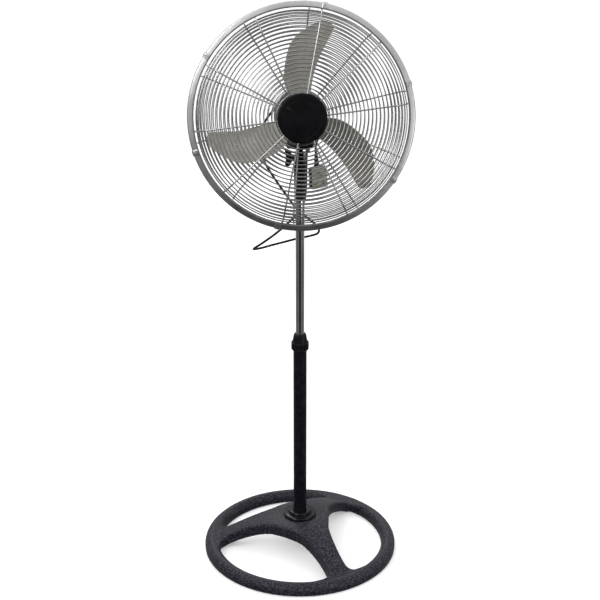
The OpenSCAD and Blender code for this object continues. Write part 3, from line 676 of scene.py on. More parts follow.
def card_fn(p):
    y = p[:, 1] + 12.0 + 0.00035 * (p[:, 0] ** 2)
    a = sd_box(np.column_stack([p[:, 0], p[:, 2]]), (-21, -84), (21, -30), 3.0)
    for x0, x1, z0, z1 in ((-2.3, 2.3, -50.3, -41.7), (-14.5, -7.7, -74.3, -69.7), (7.7, 14.5, -74.3, -69.7)):
        a = np.maximum(a, -sd_box(np.column_stack([p[:, 0], p[:, 2]]), (x0, z0), (x1, z1), 0.8))
    for x in (-13, 13):
        a = np.maximum(a, -(np.hypot(p[:, 0] - x, p[:, 2] + 37) - 2.1))
    return cut_round(a, np.abs(y) - 0.6, 0.3)


card = make("plug_card", *hung(*solid(card_fn, (-22, -13.5, -85.2), (22, -10.6, -28.8), 0.5)), "world", "head", MAT["card"], "card", ["pin_card"], weld=0)

# ------------------------------------------------------------------ base casting
BASE_R, RING_W, RING_H, HUB_Z, ARM = 252.5, 36.0, 30.0, 92.0, -3.0
RM = BASE_R - RING_W / 2
hole_half = [(76, 0), (79, 15), (88, 30), (106, 40), (131, 46.5), (162, 50.5), (188, 52), (203, 51.7), (212, 49.3), (218, 44.5)]
hp = [(r * math.cos(math.radians(a)), r * math.sin(math.radians(a))) for r, a in hole_half]
top = catmull([(p[0], p[1], 0) for p in hp], 4)[:, :2]
arc = [(228 * math.cos(math.radians(a)), 228 * math.sin(math.radians(a))) for a in (38, 30, 20, 10, 0)]
half = [tuple(p) for p in top] + arc
outline = half + [(x, -y) for x, y in half[::-1][1:-1]]


def z_top(r):
    return np.where(r <= 46, HUB_Z, HUB_Z - (HUB_Z - RING_H + 3) * (np.minimum(np.maximum(r - 46, 0), 170) / 170) ** 1.5)


def hole_sd(x, y):
    """Distance outside the nearest hole (negative in a hole); every hole is the first one turned."""
    a = np.degrees(np.arctan2(y, x)) - ARM
    a = (a + 60) % 120 - 60
    r = np.hypot(x, y)
    X, Y = r * np.cos(np.radians(a)), np.abs(r * np.sin(np.radians(a)))
    return sd_poly(X, Y, outline)


def base_fn(p):
    x, y, z = p[:, 0], p[:, 1], p[:, 2]
    r = np.hypot(x, y)
    h = hole_sd(x, y)
    sl = np.where((r > 46) & (r < 216), 1.5 * 65 / 170 * np.sqrt(np.clip(r - 46, 0, 170) / 170), 0)
    top = (z - z_top(r)) / np.sqrt(1 + sl * sl)
    web = cut_round(top, -h, 5.5)
    web = np.maximum(web, r - 236)
    deep = z - (z_top(r) - 30)
    inner = np.maximum(np.maximum(top + 6, 6 - h), r - 236)       # hollow under the top, inside the side walls
    web = np.maximum(web, -inner)
    web = np.maximum(web, -deep)                                    # side walls are 30 deep
    web = np.maximum(web, 4 - z)
    boss = sd_cyl(p, (0, 0, HUB_Z - 16), (0, 0, HUB_Z - 3), 44, 2)
    web = np.minimum(web, boss)
    q = np.hypot(r - RM, np.maximum(z - (RING_H - 18), 0)) - 18
    q = np.where(z < RING_H - 18, np.abs(r - RM) - 18, q)
    ring = cut_round(q, 2 - z, 2.5)
    core = np.hypot(r - RM, np.maximum(z - (RING_H - 18), 0)) - 12
    a = np.radians((np.degrees(np.arctan2(y, x)) - 31 + 30) % 60 - 30)
    lug = np.hypot(r * np.cos(a) - RM, r * np.sin(a)) - 9.5
    lug = np.maximum(lug, 4 - z)
    core = np.maximum(core, -lug)
    d = join_round(web, ring, 5)
    d = np.maximum(d, -core)
    d = np.maximum(d, -(np.hypot(x, y) - 8.3))
    return d


v, f = solid(base_fn, (-256, -256, 0.5), (256, 256, 95), 2.0, relax=2)
make("base_casting_mesh", v, f, "world", "root", MAT["cast"], "cast_base", ["base_casting"], weld=0, angle=50)
print("BASE faces", len(f))

# ------------------------------------------------------------------ pole
def turned(name, profile, r, seg, where, body, mat, slot, node, rfun=None, move=None, turn=None, angle=38, arc=4):
    v, f = lathe(fillet(profile, r, arc), seg, rfun=rfun)
    if turn is not None:
        v = v @ np.asarray(turn).T
    if move is not None:
        v = v + np.asarray(move, float)
    return make(name, v, f, where, body, MAT[mat], slot, [node] if node else (), angle=angle)


turned("pole_flange_mesh", [(17.1, 92.05), (43, 92.05), (43, 97), (41, 100), (31.6, 100), (31, 101), (31, 105), (29, 108), (17.1, 108)],
       [0.2, 0.5, 1.8, 1.6, 1.2, 1.2, 1.8, 1.8, 0.5], 128, "world", "root", "gloss", "flange_black", "pole_flange", arc=6)
turned("lower_tube_mesh", [(15.5, 92.1), (17, 92.1), (17, 596), (15.5, 596)], 0.5, 96, "world", "root", "tube", "tube_black", "lower_tube")
turned("upper_tube_mesh", [(9.8, 450), (11, 450), (11, 999.6), (9.8, 999.6)], 0.4, 96, "world", "mast", "chrome", "tube_chrome", "upper_tube")


def flutes(r, z, a):
    w = 1.0 if (572.2 < z < 588.6 and r > 19) else 0.0
    return r - w * 1.35 * (0.5 - 0.5 * np.cos(20 * a)) ** 1.6


pr = [(17.06, 570), (21.4, 570), (22.25, 571.4)] + [(22.25, 572.1), (22.25, 573.6)] + [(22.25, z) for z in (576, 580, 584)] + \
     [(22.25, 587.2), (22.25, 588.7), (21.5, 590.2), (19.3, 590.7), (19.0, 592.2), (17.9, 598), (17.2, 601), (16.6, 606), (15.4, 610.4),
      (13.8, 612.6), (12.6, 613), (11.35, 613), (11.35, 604), (17.06, 598)]
v, f = lathe(pr, 240, rfun=flutes)
make("height_collar_mesh", v, f, "world", "collar", MAT["collar"], "collar_black", ["height_collar"], angle=42)

# ------------------------------------------------------------------ neck and tilt joint
neck_prof = [(0, 968), (12.9, 968), (13.5, 968.8), (15.3, 1054), (15.3, 1056.6), (13.8, 1058), (0, 1058)]


def neck_fn(p):
    r = np.hypot(p[:, 0], p[:, 1])
    d = sd_poly(r, p[:, 2], [(-20, 968)] + neck_prof[1:-1] + [(-20, 1058)]) + 0.0
    tongue = sd_box(p, (-8, -10, 1040), (8, 10, 1068), 1.2)
    tongue = np.minimum(tongue, sd_cyl(p, (-8, 0, 1068), (8, 0, 1068), 10, 1.2))
    tongue = np.maximum(tongue, 1028 - p[:, 2])
    d = join_round(d, tongue, 2.5)
    d = np.maximum(d, -np.maximum(np.hypot(p[:, 0], p[:, 1]) - 11.02, p[:, 2] - 1000.1))
    d = np.maximum(d, -(np.hypot(p[:, 1], p[:, 2] - 1068) - 4.05))
    d = np.maximum(d, -np.maximum(np.hypot(p[:, 0], p[:, 2] - 985) - 2.6, 8 - p[:, 1]))
    return d


v, f = solid(neck_fn, (-17, -17, 966.5), (17, 17, 1079.5), 0.9)
make("neck_casting_mesh", v, f, "world", "mast", MAT["neck"], "neck_black", ["neck_casting"], weld=0, angle=50)

wing = [(-16.5, 4), (-19, 8), (-22.5, 17), (-25, 20), (-29, 21), (-33, 20.6), (-35.6, 18.6), (-36.4, 15.5), (-35.4, 10), (-33.5, 4)]
wing = wing + [(-33.2, -4)] + [(x, -y) for x, y in wing[::-1][1:-1]] + [(-16.5, -4)]


def knob_fn(q):
    p = q - np.array([0, 0, 1068.0])
    r = np.hypot(p[:, 1], p[:, 2])
    hub = sd_poly(r, -p[:, 0], [(-9, 13.4), (8.4, 13.4), (8.4, 20), (7.6, 30), (6.4, 33), (4, 34), (-9, 34)])
    w = sd_poly(p[:, 0], p[:, 2], wing)
    w = cut_round(w + 0.2, np.abs(p[:, 1]) - 2.9 + 0.02 * np.abs(p[:, 2]), 1.7)
    d = join_round(hub, w, 2.2)
    return np.maximum(d, -np.maximum(r - 4.04, -p[:, 0] - 29.3))


v, f = solid(knob_fn, (-38, -11, 1045.5), (-12, 11, 1090.5), 0.7)
make("tilt_knob_mesh", v, f, "world", "tilt_knob", MAT["collar"], "collar_black", ["tilt_knob"], weld=0, angle=50)


def bracket_fn(p):
    x, y, z = p[:, 0], p[:, 1], p[:, 2]
    plate = sd_box(p, (-14, -14, 12), (14, 14, 15), 1.2)
    out = sd_poly(x, y, fillet([(11, -9), (18, -7.6), (24, -6), (27, 0), (24, 6), (18, 7.6), (11, 9)], 3, 4))
    plate = np.minimum(plate, cut_round(out, np.abs(z - 13.5) - 1.5, 0.6))
    d = plate
    for s in (-1, 1):
        ch = sd_box(p, (min(s * 8.3, s * 11.3), -9.4, 0), (max(s * 8.3, s * 11.3), 9.4, 13.5), 0.7)
        ch = np.minimum(ch, sd_cyl(p, (s * 8.3, 0, 0), (s * 11.3, 0, 0), 9.4, 0.7))
        d = join_round(d, ch, 1.2)
    d = np.maximum(d, -(np.hypot(y, z) - 4.05))
    d = np.maximum(d, -(np.hypot(x, y) - 5))
    d = np.maximum(d, -(np.hypot(x - 20, y) - 2.5))
    return d


v, f = solid(bracket_fn, (-16, -16, -11), (29, 16, 17), 0.65)
make("tilt_bracket_mesh", v, f, "head", "bracket", MAT["bracket"], "plated_bracket", ["tilt_bracket"], weld=0, angle=50)


def housing_fn(p):
    x, y, z = p[:, 0], p[:, 1], p[:, 2]
    b = sd_box(np.column_stack([x, y]), (-32, -30), (32, 22), 9)
    b = cut_round(b, 23.2 - z, 3.5)
    b = np.maximum(b, z - 80)
    b = np.minimum(b, np.maximum(np.hypot(x, y) - 13, 23.1 - z))
    # two shallow ribs on each side
    for yy in (-16, 8):
        rib = sd_box(p, (-33.2, yy - 2, 30), (33.2, yy + 2, 80), 1.2)
        b = join_round(b, rib, 1.5)
    b = np.maximum(b, -(np.hypot(x, z - AXIS) - 52.08))
    b = np.maximum(b, -np.maximum(np.hypot(x, y) - 9, z - 42))
    b = np.maximum(b, -np.maximum(np.hypot(x, y) - 9.6, np.abs(z - 44.1) - 2.2))
    return np.maximum(b, z - 76)


v, f = solid(housing_fn, (-35, -32, 21.5), (35, 24, 78), 1.1)
make("pivot_housing_mesh", v, f, "head", "head", MAT["motor"], "motor_black", ["pivot_housing"], weld=0, angle=50)

# ------------------------------------------------------------------ guards
SH_R, SH_W, SH_D, RW, SW = 205.0, 35.3, 42.0, 2.8, 3.6


def slope(r):
    return 14 * (max(min(r, SH_R) - 50, 0) / (SH_R - 50)) ** 1.6


def over(r):
    return 0 if r <= SH_R else SH_D * (1 - math.sqrt(max(0, 1 - min((r - SH_R) / SH_W, 1) ** 2)))


def guard_s(r, front):
    return 206 - slope(r) - over(r) if front else 67.9 + slope(r) + over(r)


last = [211, 219, 226.5, 233, 238.8]
RINGS = {True: [59 + 9 * i for i in range(17)] + last, False: [68 + 9 * i for i in range(16)] + last}
OFF = (RW + SW) / 2 + 0.02


def spoke_path(front):
    g, out = (1 if front else -1), []
    for r in [48, 64, 80, 96, 112, 128, 144, 160, 176, 188, 200]:
        ds = 14 * 1.6 * (max(r - 50, 0.1) / (SH_R - 50)) ** 0.6 / (SH_R - 50)
        n = np.array([ds, 1]) / math.hypot(ds, 1)
        out.append((r + n[0] * OFF, guard_s(r, front) + g * n[1] * OFF))
    for a in range(8, 91, 8):
        q = math.radians(a)
        n = np.array([SH_D * math.sin(q), SH_W * math.cos(q)])
        n /= np.linalg.norm(n)
        r = SH_R + SH_W * math.sin(q)
        s = 192 - SH_D * (1 - math.cos(q)) if front else 81.9 + SH_D * (1 - math.cos(q))
        out.append((r + n[0] * OFF, s + g * n[1] * OFF))
    out.append((SH_R + SH_W + OFF - 0.05, 138.5 if front else 134.5))
    return np.array(out)


# a weld nugget, flattened between two wires
def nugget(cen, ax_r, ax_t, ax_n, a, b, c):
    v, f = [], []
    nu, nv = 8, 5
    for i in range(nv):
        th = math.pi * (i + 0.5) / nv
        for k in range(nu):
            ph = 2 * math.pi * k / nu
            v.append(cen + ax_r * a * math.sin(th) * math.cos(ph) + ax_t * b * math.sin(th) * math.sin(ph) + ax_n * c * math.cos(th))
    for i in range(nv - 1):
        for k in range(nu):
            k2 = (k + 1) % nu
            f.append([i * nu + k, i * nu + k2, (i + 1) * nu + k2, (i + 1) * nu + k])
    f.append(list(range(nu))[::-1])
    f.append([(nv - 1) * nu + k for k in range(nu)])
    return np.array(v), f


for front in (True, False):
    tag = "front" if front else "rear"
    bag = Bag()
    for r in RINGS[front]:
        bag.add(torus(r, RW / 2, guard_s(r, front), 120 if r < 110 else 180, 10))
    bag.add(torus(248.2, 2.5, 140 if front else 133, 200, 12))
    make(tag + "_guard_rings_mesh", *bag.out(), "motor", "head", MAT["wire"], "guard_chrome", [tag + "_guard_rings"], weld=0, angle=60)
    path = spoke_path(front)
    bag = Bag()
    fine = catmull([(p[0], 0, p[1]) for p in path], 2)
    for k in range(10):
        R = rot("Z", (7 if front else 13.5) + 36 * k)
        bag.add(tube(fine, SW / 2, 10), turn=R)
        for r in RINGS[front]:
            s = guard_s(r, front)
            dd = np.hypot(path[:, 0] - r, path[:, 1] - s)
            seg = int(dd.argmin())
            # nearest point of the spoke's line to this ring
            best = min(((np.hypot(q[0] - r, q[2] - s), q) for q in catmull([(a[0], 0, a[1]) for a in path[max(0, seg - 2):seg + 3]], 10)), key=lambda t: t[0])[1]
            n = np.array([best[0] - r, 0, best[2] - s])
            n /= np.linalg.norm(n)
            cen = np.array([r, 0, s]) + n * (RW / 2 - 0.1)
            bag.add(nugget(cen, np.array([n[2], 0, -n[0]]), np.array([0, 1.0, 0]), n, 1.75, 1.85, 1.0), turn=R)
    make(tag + "_guard_spokes_mesh", *bag.out(), "motor", "head", MAT["wire"], "guard_chrome", [tag + "_guard_spokes"], weld=0, angle=60)

# band: rolled strip with beaded lips
band_out = [(246.5, 127), (248.5, 127), (258, 128.4), (260, 130.4), (260.5, 135), (260.5, 138), (260, 142.6), (258, 144.6), (248.5, 146), (246.5, 146),
            (246.5, 144.6), (256.8, 142.9), (258.7, 140), (258.7, 133), (256.8, 130.1), (246.5, 128.4)]
turned("trim_band_mesh", band_out, [0.6, 2, 3, 1.5, 3, 3, 1.5, 3, 2, 0.6, 0.6, 1.5, 2, 2, 1.5, 0.6], 288, "motor", "head", "band", "band_chrome", "trim_band", arc=4, angle=50)

# clips: bent strips that hug the band, each with a pressed bead
hug = fillet([(248.6, 126.45), (258.5, 127.6), (260.8, 130.0), (261.25, 135), (261.25, 138), (260.8, 143.0), (258.5, 145.4), (248.6, 146.6)], [0, 2, 1.5, 2, 2, 1.5, 2, 0], 5, closed=False)


def clip(a0, half, thick, bead=0.6):
    pts = np.array(hug)
    d = np.gradient(pts, axis=0)
    nn = np.stack([-d[:, 1], d[:, 0]], 1)
    nn /= np.linalg.norm(nn, axis=1)[:, None]
    cen = np.array([250.0, 136.5])
    flip = np.sign(((pts - cen) * nn).sum(1))
    nn *= flip[:, None]
    cols = np.linspace(-1, 1, 17)
    v, m = [], len(pts)
    for side in (0, 1):
        for u in cols:
            edge = 1 - abs(u) ** 14
            b = bead * math.exp(-(u / 0.22) ** 2) * (np.clip(1 - np.abs(np.linspace(-1, 1, m)) ** 6, 0, 1))
            off = 0.08 + (thick * (0.25 + 0.75 * edge) + b if side else 0.0)
            q = pts + nn * np.reshape(off, (-1, 1)) if np.ndim(off) else pts + nn * off
            w = half * u
            rr = np.hypot(q[:, 0], w)
            v.append(np.column_stack([np.sqrt(q[:, 0] ** 2 - w ** 2), np.full(m, w), q[:, 1]]))
    v = np.concatenate(v)
    f, nc = [], len(cols)
    ix = lambda s, c, i: (s * nc + c) * m + i
    for s in (0, 1):
        for c in range(nc - 1):
            for i in range(m - 1):
                f.append([ix(s, c, i), ix(s, c + 1, i), ix(s, c + 1, i + 1), ix(s, c, i + 1)])
    for c in range(nc - 1):
        for i in (0, m - 1):
            f.append([ix(0, c, i), ix(0, c + 1, i), ix(1, c + 1, i), ix(1, c, i)])
    for i in range(m - 1):
        for c in (0, nc - 1):
            f.append([ix(0, c, i), ix(0, c, i + 1), ix(1, c, i + 1), ix(1, c, i)])
    return v @ rot("Z", a0).T, f


bag = Bag()
for a in (17, 77.7, 147, 198, 257, 325.6):
    bag.add(clip(a, 6.5, 1.1))
make("guard_clips_mesh", *bag.out(), "motor", "head", MAT["band"], "band_chrome", ["guard_clips"], angle=45)

# front plate and cap
turned("front_cap_mesh", [(0, 211.4), (55.2, 211.4), (56, 212.2), (56, 215.2), (54.6, 217.4), (51.5, 218.5), (44, 219.25), (43.2, 218.75), (42.2, 219.4),
       (30, 220.1), (15, 220.5), (0, 220.6)], [0, 0.6, 0.6, 2.5, 3, 5, 0.4, 0.5, 0.4, 20, 20, 0], 128, "motor", "head", "cap", "cap_black", "front_cap", angle=60)
turned("front_hub_plate_mesh", [(0, 205.2), (52.2, 205.2), (53, 206.2), (52.2, 207.2), (0, 207.2)], [0, 0.7, 0.9, 0.7, 0], 96, "motor", "head", "wire", "guard_chrome", "front_hub_plate")

# ------------------------------------------------------------------ rotor: cambered, twisted blades
right = [(18, 44), (20, 60), (22, 76), (26, 98), (33, 122), (43, 148), (55, 172), (64, 190), (69.5, 203)]
left = [(-18, 44), (-30, 52), (-38, 66), (-43, 90), (-41, 118), (-36, 145), (-28, 168), (-12, 187), (12, 204)]
tip = [(12, 204), (24, 211), (34, 215.5), (43, 218), (51, 218), (58.5, 215.5), (65, 210.5), (69.5, 203)]


def resample(P, n):
    c = catmull([(p[0], p[1], 0) for p in P], 16)[:, :2]
    s = np.concatenate([[0], np.cumsum(np.linalg.norm(np.diff(c, axis=0), axis=1))])
    t = np.linspace(0, s[-1], n)
    return np.column_stack([np.interp(t, s, c[:, 0]), np.interp(t, s, c[:, 1])])


def blade_z(x, y):
    """How far in front of the blade's plane a point of the sheet lies."""
    pitch = np.radians(np.interp(y, [14, 60, 120, 170, 219], [27, 27, 23.5, 20.5, 18.5]))
    mid = np.interp(y, [44, 90, 145, 187, 219], [0, -10, 4, 27, 50])
    halfw = np.interp(y, [44, 66, 90, 145, 187, 219], [18, 30, 33, 39, 37, 30])
    u = np.clip((x - mid) / halfw, -1.15, 1.15)
    camber = np.interp(y, [14, 58, 90, 150, 200, 219], [0, 0.5, 4.5, 7.0, 5.0, 4.0])
    return -x * np.tan(pitch) - camber * (1 - u * u)


def blade_sheet(nu=41, nv=64, thick=1.5):
    L, R, T = resample(left, nv), resample(right, nv), resample(tip, nu)
    us, vs = np.linspace(0, 1, nu), np.linspace(0, 1, nv)
    B = np.column_stack([np.linspace(-18, 18, nu), np.full(nu, 44.0)])
    P = np.zeros((nv, nu, 2))
    for j, q in enumerate(vs):
        for i, u in enumerate(us):      # a Coons patch over the four edges
            P[j, i] = (1 - u) * L[j] + u * R[j] + (1 - q) * B[i] + q * T[i] - ((1 - u) * (1 - q) * B[0] + u * (1 - q) * B[-1] + (1 - u) * q * T[0] + u * q * T[-1])
    x, y = P[..., 0], P[..., 1]
    z = blade_z(x, y)
    e = 0.5
    zx, zy = (blade_z(x + e, y) - blade_z(x - e, y)) / (2 * e), (blade_z(x, y + e) - blade_z(x, y - e)) / (2 * e)
    n = np.stack([-zx, -zy, np.ones_like(z)], -1)
    n /= np.linalg.norm(n, axis=-1)[..., None]
    c = np.stack([x, y, z], -1)
    # rounded rim: the two faces close over the last step
    a = np.minimum.reduce([np.arange(nu)[None] + 0 * x, (nu - 1 - np.arange(nu))[None] + 0 * x, np.arange(nv)[:, None] + 0 * x, (nv - 1 - np.arange(nv))[:, None] + 0 * x])
    h = np.where(a == 0, 0.45, 1.0) * thick / 2
    up, dn = c + n * h[..., None], c - n * h[..., None]
    v = np.concatenate([up.reshape(-1, 3), dn.reshape(-1, 3)])
    N, f = nu * nv, []
    ix = lambda j, i: j * nu + i
    for j in range(nv - 1):
        for i in range(nu - 1):
            q = [ix(j, i), ix(j, i + 1), ix(j + 1, i + 1), ix(j + 1, i)]
            f += [q, [k + N for k in q[::-1]]]
    loop = [ix(0, i) for i in range(nu)] + [ix(j, nu - 1) for j in range(1, nv)] + [ix(nv - 1, i) for i in range(nu - 2, -1, -1)] + [ix(j, 0) for j in range(nv - 2, 0, -1)]
    for k in range(len(loop)):
        a, b = loop[k], loop[(k + 1) % len(loop)]
        f.append([a, a + N, b + N, b])
    return v, f


def at_blade(vf, bag):
    for k in range(3):
        bag.add(vf, turn=rot("Z", -2 + 120 * k), move=(0, 0, 128))


bag = Bag()
at_blade(blade_sheet(), bag)
make("blades_mesh", *bag.out(), "motor", "rotor", MAT["blade"], "blade_alloy", ["blades"], angle=60)

# spider arms behind the sheets, hub and rivets
def arm(nu=13, nv=24, thick=2.2):
    vs, us = np.linspace(0, 1, nv), np.linspace(-1, 1, nu)
    x, y = np.zeros((nv, nu)), np.zeros((nv, nu))
    for j, q in enumerate(vs):
        yy = 15 + 62 * q
        w = np.interp(yy, [15, 30, 46, 56, 66, 72, 77], [12, 12.5, 17, 17, 12.5, 8.5, 3.0])
        x[j], y[j] = us * w, yy - 4 * (us * us) * q
    z = blade_z(x, y) - 0.8 - thick / 2 - 0.12
    # a pressed rib along the middle
    z = z - 1.6 * np.exp(-(x / 3.6) ** 2) * np.clip((62 - y) / 14, 0, 1) * np.clip((y - 20) / 8, 0, 1)
    v = np.concatenate([np.stack([x, y, z + thick / 2], -1).reshape(-1, 3), np.stack([x, y, z - thick / 2], -1).reshape(-1, 3)])
    N, f = nu * nv, []
    ix = lambda j, i: j * nu + i
    for j in range(nv - 1):
        for i in range(nu - 1):
            q = [ix(j, i), ix(j, i + 1), ix(j + 1, i + 1), ix(j + 1, i)]
            f += [q, [k + N for k in q[::-1]]]
    loop = [ix(0, i) for i in range(nu)] + [ix(j, nu - 1) for j in range(1, nv)] + [ix(nv - 1, i) for i in range(nu - 2, -1, -1)] + [ix(j, 0) for j in range(nv - 2, 0, -1)]
    for k in range(len(loop)):
        a, b = loop[k], loop[(k + 1) % len(loop)]
        f.append([a, a + N, b + N, b])
    return v, f


bag = Bag()
at_blade(arm(), bag)
bag.add(lathe(fillet([(4.02, 114), (22, 114), (24, 116), (24, 124), (22.5, 126), (14.5, 126), (13, 127.5), (13, 138.5), (11.8, 140), (4.02, 140)],
                     [0.2, 1.5, 1.5, 1.5, 1.5, 1.5, 1.5, 1, 1, 0.2], 4), 72))
make("blade_hub_mesh", *bag.out(), "motor", "rotor", MAT["hub"], "hub_alloy", ["blade_hub"], angle=40)
bag = Bag()
for x, y in ((-10, 52), (10, 52), (0, 68)):
    z = float(blade_z(np.array(x * 1.0), np.array(y * 1.0)))
    e = 0.5
    n = Vector((-(float(blade_z(x + e, y)) - float(blade_z(x - e, y))) / (2 * e), -(float(blade_z(x, y + e)) - float(blade_z(x, y - e))) / (2 * e), 1)).normalized()
    q = np.array(Vector((0, 0, 1)).rotation_difference(n).to_matrix())
    dome = lathe(fillet([(0, 0.6), (4.1, 0.6), (3.7, 1.7), (2.4, 2.5), (0, 2.8)], [0, 0.3, 1, 1, 0], 3), 24)
    tail = lathe(fillet([(0, -3.0), (3.4, -3.0), (3.2, -4.4), (0, -4.6)], [0, 0.3, 0.6, 0], 3), 24)
    shank = lathe([(0, -3.4), (2, -3.4), (2, 1), (0, 1)], 16)
    for p in (dome, tail, shank):
        at_blade((np.asarray(p[0]) @ q.T + np.array([x, y, z]), p[1]), bag)
make("blade_rivets_mesh", *bag.out(), "motor", "rotor", MAT["zinc"], "hub_alloy", ["blade_rivets"], angle=50)


# ------------------------------------------------------------------ the other nodes: CAD shapes with eased edges
def refine(node, body, mat, width=0.35, angle=28, seg=2, smooth=34):
    """A new mesh from a CAD node's shape: joined faces, eased edges, smooth turned faces."""
    src = nodes[node].data
    bm = bmesh.new()
    bm.from_mesh(src)
    bmesh.ops.remove_doubles(bm, verts=bm.verts, dist=2e-6)
    bmesh.ops.dissolve_limit(bm, angle_limit=math.radians(0.6), verts=bm.verts, edges=bm.edges)
    me = bpy.data.meshes.new(node + "_mesh")
    bm.to_mesh(me)
    bm.free()
    me.materials.clear()
    me.materials.append(MAT[mat])
    ob = bpy.data.objects.new(node + "_mesh", me)
    scene.collection.objects.link(ob)
    if width:
        b = ob.modifiers.new("ease", "BEVEL")
        b.width, b.segments, b.limit_method, b.angle_limit = width / 1000, seg, "ANGLE", math.radians(angle)
        b.use_clamp_overlap, b.harden_normals = True, False
        dg = bpy.context.evaluated_depsgraph_get()
        done = bpy.data.meshes.new_from_object(ob.evaluated_get(dg), depsgraph=dg)
        ob.modifiers.clear()
        ob.data = done
        me = done
    me.polygons.foreach_set("use_smooth", [True] * len(me.polygons))
    me.set_sharp_from_angle(angle=math.radians(smooth))
    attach(ob, body)
    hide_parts(node)
    return ob


owner = {n: b for b, ns in frame["record"]["behaviour"]["bodies"].items() for n in ns}
REFINE = {
    "foot_pads": ("rubber", "pad_rubber", 0.8), "base_nut": ("zinc", "zinc", 0.5), "base_washer": ("zinc", "zinc", 0.3),
    "guide_bush": ("nylon", "nylon", 0.3), "neck_screw": ("zinc", "zinc", 0.3), "tilt_bolt": ("zinc", "zinc", 0.4), "tilt_washers": ("zinc", "zinc", 0.25),
    "pivot_pin": ("neck", "neck_black", 0.35), "pivot_clip": ("zinc", "zinc", 0.2), "link_pin": ("zinc", "zinc", 0.3), "link_rod": ("zinc", "zinc", 0.5),
    "motor_front_shell": ("motor", "motor_black", 0.5), "motor_rear_shell": ("motor", "motor_black", 0.5), "motor_screws": ("zinc", "zinc", 0.3),
    "gear_frame": ("alloy", "frame_metal", 0.4), "clutch_knob": ("collar", "collar_black", 0.4), "gearbox_cover": ("motor", "motor_black", 0.45),
    "speed_knob": ("collar", "collar_black", 0.5), "speed_switch": ("white", "capacitor_case", 0.5), "capacitor": ("white", "capacitor_case", 0.9),
    "blade_nut": ("zinc", "zinc", 0.5), "guard_nut": ("nylon", "nylon", 0.5), "rear_guard_plate": ("wire", "guard_chrome", 0.3),
}
for n, (m, s, w) in REFINE.items():
    refine(n, owner[n], m, w)
KEEP = {"base_stud": "zinc", "tube_guide": "nylon", "pivot_bush": "bronze", "motor_bearings": "bronze", "stator_core": "iron", "stator_windings": "copper",
        "rotor_core": "iron", "motor_shaft": "zinc", "worm_wheel": "acetal", "crank_gear": "acetal"}
for n, m in KEEP.items():
    nodes[n].data.materials.clear()
    nodes[n].data.materials.append(MAT[m])
for n, o in nodes.items():
    if not o.hide_render and n not in KEEP:
        print("NODE WITHOUT A FINISH:", n)

# ------------------------------------------------------------------ stage and light
def quad(name, w, d, loc, rot_deg, mat):
    me = bpy.data.meshes.new(name)
    me.from_pydata([(-w / 2, -d / 2, 0), (w / 2, -d / 2, 0), (w / 2, d / 2, 0), (-w / 2, d / 2, 0)], [], [(0, 1, 2, 3)])
    ob = bpy.data.objects.new(name, me)
    ob.location, ob.rotation_euler = loc, [math.radians(a) for a in rot_deg]
    me.materials.append(mat)
    scene.collection.objects.link(ob)
    return ob


fl = bpy.data.materials.new("studio_floor")
fl.use_nodes = True
pb = fl.node_tree.nodes["Principled BSDF"]
pb.inputs["Base Color"].default_value = (0.85, 0.85, 0.85, 1)
pb.inputs["Roughness"].default_value = 0.9
pb.inputs["Specular IOR Level"].default_value = 0.1
pb.inputs["Emission Color"].default_value = (1, 1, 1, 1)
pb.inputs["Emission Strength"].default_value = 0.30
floor = quad("studio_floor", 120, 120, (0, 0, -0.0005), (0, 0, 0), fl)
floor.visible_diffuse = floor.visible_glossy = False

# a distant white wall that only the camera sees, so that a low view has no horizon
wl = bpy.data.materials.new("studio_wall")
wl.use_nodes = True
wp = wl.node_tree.nodes["Principled BSDF"]
wp.inputs["Base Color"].default_value = (0, 0, 0, 1)
wp.inputs["Specular IOR Level"].default_value = 0.0
wp.inputs["Emission Color"].default_value = (1, 1, 1, 1)
wp.inputs["Emission Strength"].default_value = 1.1
for i in range(12):
    a = math.radians(30 * i)
    wall = quad("studio_wall_%d" % i, 31, 60, (55 * math.cos(a), 55 * math.sin(a), 29.5), (90, 0, 30 * i + 90), wl)
    wall.visible_diffuse = wall.visible_glossy = wall.visible_shadow = wall.visible_transmission = False

dk = bpy.data.materials.new("studio_flag")
dk.use_nodes = True
dk.node_tree.nodes["Principled BSDF"].inputs["Base Color"].default_value = (0.012, 0.012, 0.012, 1)
dk.node_tree.nodes["Principled BSDF"].inputs["Roughness"].default_value = 1.0
flag = quad("studio_flag", 1.5, 4.5, (-0.15, -4.6, 1.6), (90, 0, 0), dk)
flag.visible_camera = flag.visible_diffuse = flag.visible_shadow = False

w = scene.world or bpy.data.worlds.new("world")
scene.world = w
w.use_nodes = True
# A white tent above; below the horizon it is dim, paler behind, which the upright tubes mirror at their edges.
wt = w.node_tree
bg = wt.nodes["Background"]
co = wt.nodes.new("ShaderNodeTexCoord").outputs["Generated"]


def wnode(kind, **k):
    n = wt.nodes.new(kind)
    for a, x in k.items():
        setattr(n, a, x)
    return n


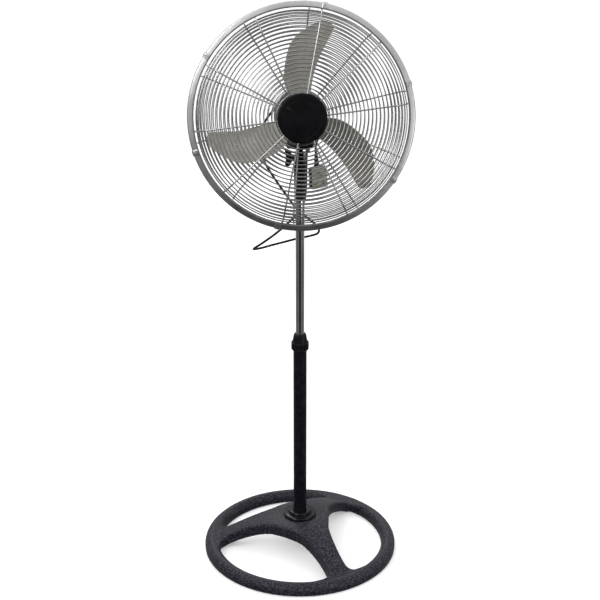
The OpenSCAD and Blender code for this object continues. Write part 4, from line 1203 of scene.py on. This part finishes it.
flat = wnode("ShaderNodeVectorMath", operation="MULTIPLY")
flat.inputs[1].default_value = (1, 1, 0)
unit = wnode("ShaderNodeVectorMath", operation="NORMALIZE")
dot = wnode("ShaderNodeVectorMath", operation="DOT_PRODUCT")
dot.inputs[1].default_value = (-0.0305, -0.9995, 0)
wt.links.new(co, flat.inputs[0])
wt.links.new(flat.outputs[0], unit.inputs[0])
wt.links.new(unit.outputs[0], dot.inputs[0])


def wramp(sock, lo, hi, stops):
    m = wnode("ShaderNodeMapRange")
    m.inputs["From Min"].default_value, m.inputs["From Max"].default_value = lo, hi
    r = wnode("ShaderNodeValToRGB")
    e = r.color_ramp.elements
    while len(e) < len(stops):
        e.new(0.5)
    for k, (at, g) in zip(e, stops):
        k.position, k.color = at, (g, g, g, 1) if not hasattr(g, "__len__") else (*g, 1)
    wt.links.new(sock, m.inputs["Value"])
    wt.links.new(m.outputs["Result"], r.inputs["Fac"])
    return r.outputs["Color"]


low = wramp(dot.outputs["Value"], -1, 1, [(0.0, (0.42, 0.43, 0.41)), (0.34, (0.42, 0.43, 0.41)), (0.5, 0.14), (0.74, 0.12), (0.82, 0.24), (0.92, 0.2), (0.975, 0.03), (1.0, 0.015)])
sep = wnode("ShaderNodeSeparateXYZ")
wt.links.new(co, sep.inputs[0])
up = wramp(sep.outputs["Z"], -0.1, 0.6, [(0.0, 0.0), (0.3, 0.35), (1.0, 1.0)])
blend = wnode("ShaderNodeMix", data_type="RGBA")
wt.links.new(up, blend.inputs[0])
wt.links.new(low, blend.inputs[6])
blend.inputs[7].default_value = (1, 1, 1, 1)
wt.links.new(blend.outputs[2], bg.inputs["Color"])
bg.inputs["Strength"].default_value = 1.0


def area(name, size, loc, target, power, size_y=None):
    d = bpy.data.lights.new(name, "AREA")
    d.shape, d.size, d.energy = ("RECTANGLE" if size_y else "SQUARE"), size, power
    if size_y:
        d.size_y = size_y
    o = bpy.data.objects.new(name, d)
    o.location = loc
    o.rotation_euler = (Vector(target) - Vector(loc)).to_track_quat("-Z", "Y").to_euler()
    scene.collection.objects.link(o)
    return o


area("key", 1.6, (-2.4, -2.6, 3.4), (0, 0, 0.9), 70)
area("side", 1.2, (2.3, -2.3, 1.1), (0, 0, 1.1), 24, 1.6)
area("back", 1.6, (-0.6, 2.6, 2.8), (0, 0, 1.0), 30)
scene.view_settings.view_transform = "Standard"
scene.view_settings.look = "None"
